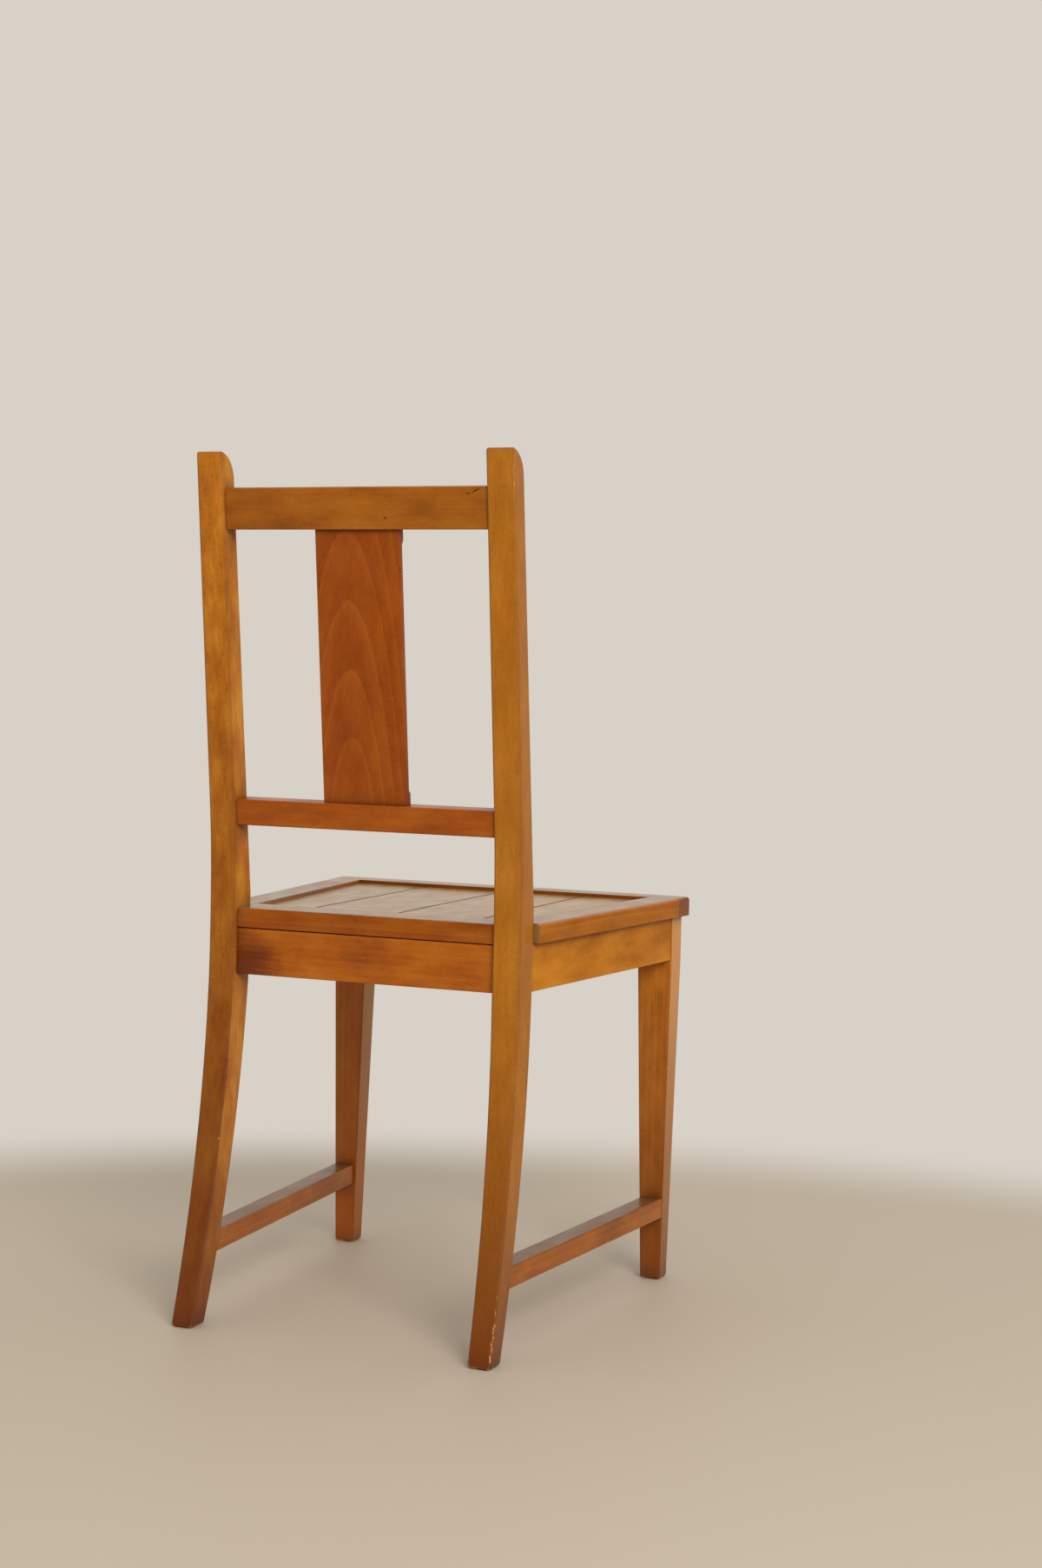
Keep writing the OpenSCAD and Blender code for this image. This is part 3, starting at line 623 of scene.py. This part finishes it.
def old_dirt(name, dark, light):
    """Dirt and old varnish that have filled a groove. It gives the eye a dull line with crumbs."""
    material = bpy.data.materials.new(name)
    material.use_nodes = True
    tree = material.node_tree
    tree.nodes.clear()
    place = put(tree, "ShaderNodeTexCoord", {}).outputs["Object"]
    crumbs = put(
        tree, "ShaderNodeTexNoise", {"Vector": place, "Scale": 1500, "Detail": 2},
    ).outputs["Fac"]
    colour = put(
        tree, "ShaderNodeMix", {"Factor": crumbs, 6: linear(dark), 7: linear(light)},
        data_type="RGBA",
    ).outputs[2]
    dull = put(tree, "ShaderNodeBsdfPrincipled", {"Base Color": colour, "Roughness": 0.7})
    put(tree, "ShaderNodeOutputMaterial", {"Surface": dull.outputs[0]})
    return material


old_finish = old_dirt("old varnish in a split", "#2a1407", "#5a3114")
crest.data.materials.append(crest_beech)
crest.data.materials.append(old_finish)
_, crest_y, crest_z = middle_of("crest_rail")


def on_crest_back(x, up):
    """A point on the back of the crest rail, up from its middle."""
    out = crest_thickness / 2
    return (
        x,
        crest_y + out * math.cos(rake) + up * math.sin(rake),
        crest_z - out * math.sin(rake) + up * math.cos(rake),
    )


# Two splinters make the split, and the third is the dent
for x, up, long, high, turn in (
    (-0.137, 0.0175, 0.013, 0.0013, 0.42), (-0.1285, 0.0145, 0.006, 0.0011, 0.1),
    (-0.0356, -0.0098, 0.0042, 0.0015, 0.1),
):
    chip(crest, on_crest_back(x, up), (long, 0.003, high), (-rake, turn, 0), old_finish)
fit_in(crest, "crest_rail", crest_beech)

# ---- Lower back rail ----
# A narrower beech rail, let in between the posts above the seat in the same way. It leans back
# less than the crest rail, because the posts still curve there.
lower_tilt = math.asin((middle_of("lower_back_rail")[2] - bend_low) / bend_radius)
lower_thickness = 0.023
lower_height = 0.0276
lower = rail("lower_back_rail_wood", "lower_back_rail", lower_thickness, lower_height, lower_tilt)
ease(lower, rail_arris, 3, lengthwise)
lower_beech = varnished_beech(
    "varnished beech, lower rail", along_x, (0.1, 0.22, 0.50),
    "#783208", "#a3500b", "#b86a16", figure=0.2, fine=0.8, varnish_ior=1.4,
)
fit_in(lower, "lower_back_rail", lower_beech)

# ---- Back splat ----
# One wide flat-sawn board between the back rails, tenoned into both, with a stopped chamfer
# along each of its front edges. Its face shows the long pointed loops of the grain.
splat_width = 0.0965
splat_thickness = 0.010
splat_from, splat_to = middle_of("lower_back_rail"), middle_of("crest_rail")
splat_tilt = math.atan2(splat_to[1] - splat_from[1], splat_to[2] - splat_from[2])
splat_run = math.dist(splat_from, splat_to)
splat_middle = [(a + b) / 2 for a, b in zip(splat_from, splat_to)]
splat_let_in = 0.0005
splat_low = -splat_run / 2 + lower_height / 2 - splat_let_in
splat_high = splat_run / 2 - crest_height / 2 + splat_let_in
chamfer = 0.0035
chamfer_stop = 0.016
splat_arris = 0.0008
splat = block(
    "back_splat_wood",
    (-splat_width / 2, -splat_thickness / 2, splat_low),
    (splat_width / 2, splat_thickness / 2, splat_high),
)
for stop in (splat_low + chamfer_stop, splat_high - chamfer_stop):
    alone(splat)
    bpy.ops.object.mode_set(mode="EDIT")
    bpy.ops.mesh.select_all(action="SELECT")
    bpy.ops.mesh.bisect(plane_co=(0, 0, stop), plane_no=(0, 0, 1))
    done()
ease(splat, chamfer, 1,
     lambda middle: middle.y < 0 and abs(middle.x) > 0.04 and abs(middle.z) < 0.1)
splat.data.attributes.remove(splat.data.attributes["arris"])
ease(splat, splat_arris, 2)
splat.rotation_euler = (-splat_tilt, 0, 0)
splat.location = splat_middle
alone(splat)
bpy.ops.object.transform_apply(location=True, rotation=True, scale=True)
# The tree's middle leans 7 degrees from the board and lies 50 mm in front of it
splat_beech = varnished_beech(
    "varnished flat-sawn beech", (0.12 - splat_tilt, 0, 0), (0.0146, splat_middle[1] - 0.05, 0.70),
    "#783004", "#9b4a08", "#b05f10", rings=0.009, figure=0.55, cloud=0.6, varnish_ior=1.4,
)
splat.data.materials.append(splat_beech)
splat.data.materials.append(old_finish)
# Two nicks, one above the other, in the back arris near the top
for up in (0.0985, 0.0955):
    nick = (
        -splat_width / 2,
        splat_middle[1] + up * math.sin(splat_tilt) + 0.0045,
        splat_middle[2] + up * math.cos(splat_tilt),
    )
    chip(splat, nick, (0.002, 0.003, 0.002), (0.3, 0.2, 0), old_finish)
fit_in(splat, "back_splat", splat_beech)

# ---- Front legs ----
# Square beech legs, tapered on both inner faces and slightly on the outer ones, below the aprons.
# They stand under the seat frame, which covers their tops.
front_low, front_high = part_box("left_front_leg")
front_foot_width = 0.024
front_foot_depth = 0.0235
front_foot_out = front_high[0] - 0.006
leg_arris = 0.0018
front_leg = block(
    "left_front_leg_wood",
    (front_foot_out - front_foot_width, front_high[1] - front_foot_depth, 0),
    (front_foot_out, front_high[1], apron_bottom),
)
pick(front_leg, lambda middle, normal: normal.z > 0.9)
leg_width, leg_depth = front_high[0] - front_low[0], front_high[1] - front_low[1]
bpy.ops.transform.translate(value=(front_high[0] - front_foot_out, 0, 0))
stretch(
    (leg_width / front_foot_width, leg_depth / front_foot_depth, 1),
    (front_high[0], front_high[1], apron_bottom),
)
push((0, 0, front_high[2] - apron_bottom))
done()
ease(front_leg, foot_arris, 3, lambda middle: middle.z < 0.001)
ease(front_leg, leg_arris, 3, lambda middle: middle.z < front_high[2] - 0.001, sharp=50)
right_front_leg = mirrored(front_leg, "right_front_leg_wood")
# Both front legs darken towards the floor with painted shade, and their sides that face the window
# light are painted paler and greyer, a painted sheen, brightest on the right leg
left_leg_beech = varnished_beech(
    "varnished beech, left front leg", along_z, (0.5, -0.6, 0.1),
    "#74360a", "#ac5f14", "#c47a24", edge=0.3, foot="#9c500e",
    dust_and_sheen=((-1, 0, 0), "#c8904c"), varnish_ior=1.4,
)
right_leg_beech = varnished_beech(
    "varnished beech, right front leg", along_z, (0.1, -0.6, 0.1),
    "#76380a", "#b46814", "#cc8428", cloud=0.8, edge=0.3, foot="#763809", foot_shade_height=0.34,
    dust_and_sheen=((-1, 0, 0), "#e0a25c"), varnish_ior=1.4,
)
fit_in(front_leg, "left_front_leg", left_leg_beech)
fit_in(right_front_leg, "right_front_leg", right_leg_beech)

# ---- Front and rear aprons ----
# Straight rails under the seat, tenoned between the legs. Screws go up through deep pockets in
# them into the seat frame. They have shrunk, which leaves a dark gap under the frame.
rear_beech = varnished_beech(
    "varnished beech, rear apron", along_x, (0.22, 0.10, 0.33),
    "#70300a", "#ac5a0e", "#c07a1c", figure=0.3, cloud=0.7, fine=0.8, varnish_ior=1.4,
    curls=(((0.152, 0.158, 0.366), 0.065, 0.70), ((-0.115, 0.158, 0.350), 0.045, 0.0)),
)
# Each pocket and hole is a little wider than the screw's head and shank
screws_low, screws_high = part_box("seat_screws")
head_radius = 0.004
pocket_radius = 0.0043
hole_radius = 0.0021
hole_height = 0.1
head_room = 0.0025
below = 0.01
shrinkage = 0.0008
apron_arris = 0.0012
for node, reach, screw_y in (
    ("rear_apron", post_in, screws_high[1] - head_radius),
    ("front_apron", front_low[0], screws_low[1] + head_radius),
):
    low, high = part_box(node)
    pocket_height = screws_low[2] + head_room - (low[2] - below)
    apron = block(
        node + "_wood", (-reach, low[1], low[2]), (reach, high[1], high[2] - shrinkage),
    )
    ease(apron, apron_arris, 3, lengthwise)
    for side in (-1, 1):
        for radius, bottom, height in (
            (pocket_radius, low[2] - below, pocket_height), (hole_radius, low[2], hole_height),
        ):
            at = (side * (screws_high[0] - head_radius), screw_y, bottom + height / 2)
            bpy.ops.mesh.primitive_cylinder_add(
                vertices=32, radius=radius, depth=height, location=at
            )
            drill = bpy.context.object
            bpy.ops.object.transform_apply(location=True, rotation=True, scale=True)
            cut(apron, drill)
    fit_in(apron, node, rear_beech)

# ---- Side aprons ----
# Two more rails under the seat, tenoned into the rear posts and the front legs. They splay with
# the seat, and stand in a little from the faces of the legs.
apron_set_in = 0.0015
apron_let_in = 0.0015
apron_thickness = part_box("rear_apron")[1][1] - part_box("rear_apron")[0][1]
apron_low_z, apron_high_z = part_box("left_side_apron")[0][2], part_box("left_side_apron")[1][2]
rear_x, front_x = post_out - apron_set_in, front_high[0] - apron_set_in
splay = math.atan2(front_x - rear_x, post_face - front_high[1])
side_width = apron_thickness / math.cos(splay)


def splayed(name, low, high, slide):
    """A left-hand block along Y, with its front end slid sideways and both ends square to Y."""
    piece = block(name, low, high)
    pick(piece, lambda middle, normal: normal.y < -0.9)
    bpy.ops.transform.translate(value=(slide, 0, 0))
    done()
    return piece


side_apron = splayed(
    "left_side_apron_wood",
    (rear_x - side_width, front_high[1], apron_low_z),
    (rear_x, post_face + apron_let_in, apron_high_z),
    front_x - rear_x,
)
ease(side_apron, apron_arris, 3, lambda middle: front_high[1] + 0.05 < middle.y < post_face - 0.05)
right_side_apron = mirrored(side_apron, "right_side_apron_wood")
for side, way, apron in (("left", 1, side_apron), ("right", -1, right_side_apron)):
    side_beech = varnished_beech(
        "varnished beech, %s apron" % side, (-math.pi / 2, 0, way * splay), (way * 0.32, 0.0, 0.40),
        "#985410", "#c67a18", "#da942a", figure=0.6, cloud=0.8, fine=0.8, varnish_ior=1.4,
    )
    fit_in(apron, side + "_side_apron", side_beech)

# ---- Side stretchers ----
# A square beech bar low down on each side, tenoned into the rear and the front leg. Shoes and
# dust have turned its top grey.
stretcher_low_z, stretcher_high_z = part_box("left_stretcher")[0][2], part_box("left_stretcher")[1][2]
stretcher_z = (stretcher_low_z + stretcher_high_z) / 2
stretcher_width = 0.0245
stretcher_set_in = 0.0005
stretcher_let_in = 0.008
stretcher_arris = 0.0016
stretcher_rear = leg_face(stretcher_z) + stretcher_let_in
taper_x = front_foot_out + (front_high[0] - front_foot_out) * stretcher_z / apron_bottom
stretcher_front_x = taper_x - stretcher_set_in
stretcher_rear_x = leg_side(stretcher_z, leg_high[0], post_out) - stretcher_set_in
stretcher = splayed(
    "left_stretcher_wood",
    (stretcher_rear_x - stretcher_width, front_high[1], stretcher_low_z),
    (stretcher_rear_x, stretcher_rear, stretcher_high_z),
    stretcher_front_x - stretcher_rear_x,
)
ease(stretcher, stretcher_arris, 3,
     lambda middle: front_high[1] + 0.05 < middle.y < stretcher_rear - 0.05)
right_stretcher = mirrored(stretcher, "right_stretcher_wood")
stretcher_splay = math.atan2(stretcher_front_x - stretcher_rear_x, stretcher_rear - front_high[1])
for side, way, bar in (("left", 1, stretcher), ("right", -1, right_stretcher)):
    stretcher_beech = varnished_beech(
        "varnished beech, %s stretcher" % side, (-math.pi / 2, 0, way * stretcher_splay),
        (way * 0.1, 0.0, 0.02),
        "#743809", "#a0560e", "#bc721a", edge=0.3, dust_and_sheen=((0, 0, 1), "#5e4a30"),
        varnish_ior=1.4,
    )
    fit_in(bar, side + "_stretcher", stretcher_beech)

# ---- Seat frame ----
# Four rails round the boards, standing out past the aprons. The front rail runs the full width,
# and the side rails are tenoned into it and butt against the posts. The outer top edge is
# rounded over by hand.
seat_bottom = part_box("seat_rear_rail")[0][2]
seat_mid = (seat_bottom + seat_top) / 2
rear_rail_low, rear_rail_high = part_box("seat_rear_rail")
front_rail_low, front_rail_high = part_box("seat_front_rail")
side_overhang = 0.0063
side_rail_width = post_width + side_overhang
seat_rear_x = post_out + side_overhang
seat_front_x = 0.2255
seat_corner = 0.009
seat_round = 0.004
seat_arris = 0.0009
rear_rail_arris = 0.0011


def seat_edge(y):
    """The outer edge of the seat at y."""
    forward = (post_face - y) / (post_face - front_rail_low[1])
    return seat_rear_x + (seat_front_x - seat_rear_x) * forward


def seat_inner(y):
    """The inner edge of a side rail at y."""
    return seat_edge(y) - side_rail_width


rear_rail = block(
    "seat_rear_rail_wood",
    (-post_in, post_face, seat_bottom),
    (post_in, rear_rail_high[1], seat_top),
)
pick(rear_rail, lambda middle, normal: normal.y < -0.9)
push((0, rear_rail_low[1] - post_face, 0))
stretch((seat_inner(rear_rail_low[1]) / post_in, 1, 1), (0, rear_rail_low[1], seat_top))
done()
ease(rear_rail, rear_rail_arris, 3, lengthwise)
# The pale grey-tan on the tops of the seat frame is a painted sheen
seat_beech = varnished_beech(
    "varnished beech, seat frame", along_x, (0.20, 0.25, 0.47),
    "#6c2e08", "#9a4d0b", "#b26817", fine=0.8, gloss=0.20, dust_and_sheen=((0, 0, 1), "#957344"),
)
fit_in(rear_rail, "seat_rear_rail", seat_beech)

front_rail = block(
    "seat_front_rail_wood",
    (-seat_edge(front_rail_high[1]), front_rail_low[1], seat_bottom),
    (seat_edge(front_rail_high[1]), front_rail_high[1], seat_top),
)
pick(front_rail, lambda middle, normal: normal.y < -0.9)
stretch((seat_front_x / seat_edge(front_rail_high[1]), 1, 1), (0, front_rail_low[1], seat_top))
done()
ease(front_rail, seat_corner, 8, lambda middle: middle.y < front_rail_low[1] + 0.001
     and abs(middle.x) > 0.2 and abs(middle.z - seat_mid) < 0.001)
ease(front_rail, seat_round, 5,
     lambda middle: middle.y < front_rail_high[1] - 0.001 and middle.z > seat_mid, sharp=50)
ease(front_rail, seat_arris, 3,
     lambda middle: middle.z < seat_mid or lengthwise(middle), sharp=50)
# Where the eased edges meet at the rear corners, some of their points share one spot
alone(front_rail)
bpy.ops.object.mode_set(mode="EDIT")
bpy.ops.mesh.select_all(action="SELECT")
bpy.ops.mesh.remove_doubles(threshold=1e-6)
done()
fit_in(front_rail, "seat_front_rail", seat_beech)

side_rail = splayed(
    "seat_left_rail_wood",
    (seat_inner(post_face), front_rail_high[1], seat_bottom),
    (seat_rear_x, post_face, seat_top),
    seat_edge(front_rail_high[1]) - seat_rear_x,
)
rail_mid_y = (post_face + front_rail_high[1]) / 2
ease(side_rail, seat_round, 5, lambda middle: abs(middle.y - rail_mid_y) < 0.05
     and middle.x > seat_inner(middle.y) + 0.02 and middle.z > seat_mid)
ease(side_rail, seat_arris, 3, lambda middle: middle.y > front_rail_high[1] + 0.001, sharp=50)
right_side_rail = mirrored(side_rail, "seat_right_rail_wood")
seat_splay = math.atan2(seat_front_x - seat_rear_x, post_face - front_rail_low[1])
for side, way, held in (("left", 1, side_rail), ("right", -1, right_side_rail)):
    # The side rails are painted lighter: their pale grey-tan tops are a painted sheen, the pale end
    # tint on their rear ends is a painted highlight on a shaded face, and their corners are darkened
    # less
    side_rail_beech = varnished_beech(
        "varnished beech, %s seat rail" % side, (-math.pi / 2, 0, way * seat_splay),
        (way * 0.4, 0.0, 0.38),
        "#84420c", "#b2681a", "#c6822c", cloud=0.6, fine=0.7, gloss=0.20, grime_and_shade=0.4,
        dust_and_sheen=((0, 0, 1), "#957344"), end="#c09a6a",
    )
    fit_in(held, "seat_%s_rail" % side, side_rail_beech)

# ---- Seat boards ----
# Four boards run from back to front, tongued into each other and into the frame. Each joint is
# a dark V, and the boards lie a little below the frame.
board_low, board_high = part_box("seat_board_2")
board_bottom, board_top = board_low[2], board_high[2]
board_gap = 0.0003
fit = 0.00015
board_rear, board_front = rear_rail_low[1] - fit, front_rail_high[1] + fit
vee = 0.0016
joints = [0.097, -0.003, -0.103]
# The boards' pale grey-tan tones are partly a painted sheen, the pale wall mirrored at a grazing
# angle, laid over the wood's own colour
board_beech_with_painted_sheen = varnished_beech(
    "varnished beech, seat boards", along_y, (0.3, 0.0, 0.35),
    "#a07642", "#b28850", "#c2985e", cloud=0.2, fine=0.35, edge=0.0, gloss=0.20, waviness=0.08,
    grime_and_shade_reach=0.005,
)
joint_dirt = old_dirt("dirt in the seat joints", "#54361c", "#8e643c")
for n, (left, right) in enumerate(zip([None] + joints, joints + [None]), 1):
    name = "seat_board_%d" % n
    rear_left = seat_inner(board_rear) - fit if left is None else left - board_gap / 2
    rear_right = -seat_inner(board_rear) + fit if right is None else right + board_gap / 2
    board = block(
        name + "_wood",
        (rear_right, board_front, board_bottom), (rear_left, board_rear, board_top),
    )
    if left is None or right is None:
        still = rear_right if left is None else rear_left
        reach = seat_inner(board_front) - fit + (-still if left is None else still)
        pick(board, lambda middle, normal: normal.y < -0.9)
        stretch((reach / (rear_left - rear_right), 1, 1), (still, board_front, board_top))
        done()
    at_joint = [x for x in (left, right) if x is not None]
    ease(board, vee, 1, lambda middle: middle.z > board_top - 0.001
         and any(abs(middle.x - x) < 0.001 for x in at_joint))
    board.data.materials.append(board_beech_with_painted_sheen)
    board.data.materials.append(joint_dirt)
    # Dirt covers the sloping faces of each V
    for face in board.data.polygons:
        if 0.5 < face.normal.z < 0.9:
            face.material_index = 1
    fit_in(board, name, board_beech_with_painted_sheen)

# ---- Corner blocks and screws ----
# Bare sawn blocks brace the corners under the seat, screwed to the aprons. Zinc-plated
# countersunk screws hold them and the seat.
sawn_beech = raw_beech("bare sawn beech", "#a87f50", "#d6b684")
for node in ("rear_left_block", "rear_right_block", "front_left_block", "front_right_block"):
    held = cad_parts[node]
    held.data.materials.clear()
    held.data.materials.append(sawn_beech)

zinc = bpy.data.materials.new("zinc-plated steel")
zinc.use_nodes = True
tree = zinc.node_tree
tree.nodes.clear()
place = put(tree, "ShaderNodeTexCoord", {}).outputs["Object"]
spots = put(tree, "ShaderNodeTexNoise", {"Vector": place, "Scale": 900, "Detail": 2}).outputs["Fac"]
dull = put(
    tree, "ShaderNodeMapRange", {"Value": spots, "To Min": 0.28, "To Max": 0.5}
).outputs[0]
plated = put(
    tree, "ShaderNodeBsdfPrincipled",
    {"Base Color": linear("#b9bcbd"), "Metallic": 1.0, "Roughness": dull},
)
put(tree, "ShaderNodeOutputMaterial", {"Surface": plated.outputs[0]})
for node in ("block_screws", "seat_screws"):
    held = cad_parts[node]
    held.data.materials.clear()
    held.data.materials.append(zinc)

# ---- Floor, light and camera ----
# A plain pale floor that fades into a plain pale backdrop, a soft key from the sitter's right
# and behind, and even light from all round. The varnish mirrors the pale wall in front of the
# chair's left side, and a dimmer room elsewhere.
backdrop = "#d8d1c8"
bpy.ops.mesh.primitive_circle_add(vertices=96, radius=14, fill_type="NGON", location=(0, 0, 0))
floor = bpy.context.object
floor.name = "floor"


def both(tree, a, b):
    """The larger of two values."""
    return put(tree, "ShaderNodeMath", {0: a, 1: b}, operation="MAXIMUM").outputs[0]


def studio(tree, kind, towards, fade, lit):
    """Adds the backdrop over the shader lit, by fade, on the rays that show it as it is: the
    camera's, glossy ones and clear ones. towards is the way from the chair to what is shown."""
    ray = put(tree, "ShaderNodeLightPath", {}).outputs
    seen = both(tree, ray["Is Camera Ray"], ray["Is Glossy Ray"])
    seen = both(tree, seen, ray["Is Transmission Ray"])
    seen = put(tree, "ShaderNodeMath", {0: seen, 1: fade}, operation="MULTIPLY").outputs[0]
    dim = put(
        tree, "ShaderNodeVectorMath", {0: towards, 1: (-0.85, 0.53, 0)}, operation="DOT_PRODUCT"
    ).outputs["Value"]
    dim = put(
        tree, "ShaderNodeMapRange", {"Value": dim, "From Min": -0.35, "From Max": 0.05}
    ).outputs[0]
    dim = put(
        tree, "ShaderNodeMath", {0: dim, 1: ray["Is Glossy Ray"]}, operation="MULTIPLY"
    ).outputs[0]
    wall = put(tree, kind, {"Color": linear(backdrop), "Strength": 1.0}).outputs[0]
    room = put(tree, kind, {"Color": linear(backdrop), "Strength": 0.08}).outputs[0]
    shown = put(tree, "ShaderNodeMixShader", {"Fac": dim, 1: wall, 2: room}).outputs[0]
    return put(tree, "ShaderNodeMixShader", {"Fac": seen, 1: lit, 2: shown}).outputs[0]


ground = bpy.data.materials.new("pale floor")
ground.use_nodes = True
tree = ground.node_tree
tree.nodes.clear()
place = put(tree, "ShaderNodeTexCoord", {}).outputs["Object"]
away = put(
    tree, "ShaderNodeVectorMath", {0: place, 1: (-0.33, 0.76, 0)}, operation="DISTANCE"
).outputs["Value"]
fade = put(
    tree, "ShaderNodeMapRange", {"Value": away, "From Min": 1.45, "From Max": 1.85},
    interpolation_type="SMOOTHSTEP",
).outputs[0]
towards = put(tree, "ShaderNodeVectorMath", {0: place}, operation="NORMALIZE").outputs[0]
matt = put(tree, "ShaderNodeBsdfPrincipled", {"Base Color": linear("#cabda9"), "Roughness": 0.6})
shown = studio(tree, "ShaderNodeEmission", towards, fade, matt.outputs[0])
put(tree, "ShaderNodeOutputMaterial", {"Surface": shown})
floor.data.materials.append(ground)

world = bpy.data.worlds.new("soft studio")
bpy.context.scene.world = world
world.use_nodes = True
tree = world.node_tree
tree.nodes.clear()
sky = put(tree, "ShaderNodeBackground", {"Color": linear("#fbf7f2"), "Strength": 0.68})
towards = put(tree, "ShaderNodeTexCoord", {}).outputs["Generated"]
shown = studio(tree, "ShaderNodeBackground", towards, 1.0, sky.outputs[0])
put(tree, "ShaderNodeOutputWorld", {"Surface": shown})


def aim(thing, at):
    """Turns a lamp so that it shines on a point."""
    away = [a - b for a, b in zip(thing.location, at)]
    flat = math.hypot(away[0], away[1])
    thing.rotation_euler = (math.atan2(flat, away[2]), 0, math.atan2(away[0], -away[1]))


bpy.ops.object.light_add(type="AREA", location=(-2.9, 3.0, 2.6))
key = bpy.context.object
key.name = "window_light"
key.data.shape = "DISK"
key.data.size = 2.2
key.data.energy = 120
key.data.color = (1.0, 0.97, 0.93)
aim(key, (0, 0, 0.6))

yaw, pitch, roll = math.radians(23.136), math.radians(3.117), math.radians(1.1)
ahead = (math.sin(yaw) * math.cos(pitch), -math.cos(yaw) * math.cos(pitch), -math.sin(pitch))
level = (-math.cos(yaw), -math.sin(yaw), 0)
upright = (
    level[1] * ahead[2] - level[2] * ahead[1],
    level[2] * ahead[0] - level[0] * ahead[2],
    level[0] * ahead[1] - level[1] * ahead[0],
)
across = [math.cos(roll) * a + math.sin(roll) * b for a, b in zip(level, upright)]
above = [math.cos(roll) * b - math.sin(roll) * a for a, b in zip(level, upright)]
bpy.ops.object.camera_add(location=(-1.182, 2.5144, 0.7237))
camera = bpy.context.object
camera.matrix_world = Matrix(
    [[across[i], above[i], -ahead[i], camera.location[i]] for i in range(3)] + [[0, 0, 0, 1]]
)
camera.data.sensor_width = 36
camera.data.lens = 58.17
bpy.context.scene.camera = camera
bpy.context.scene.view_settings.view_transform = "Standard"
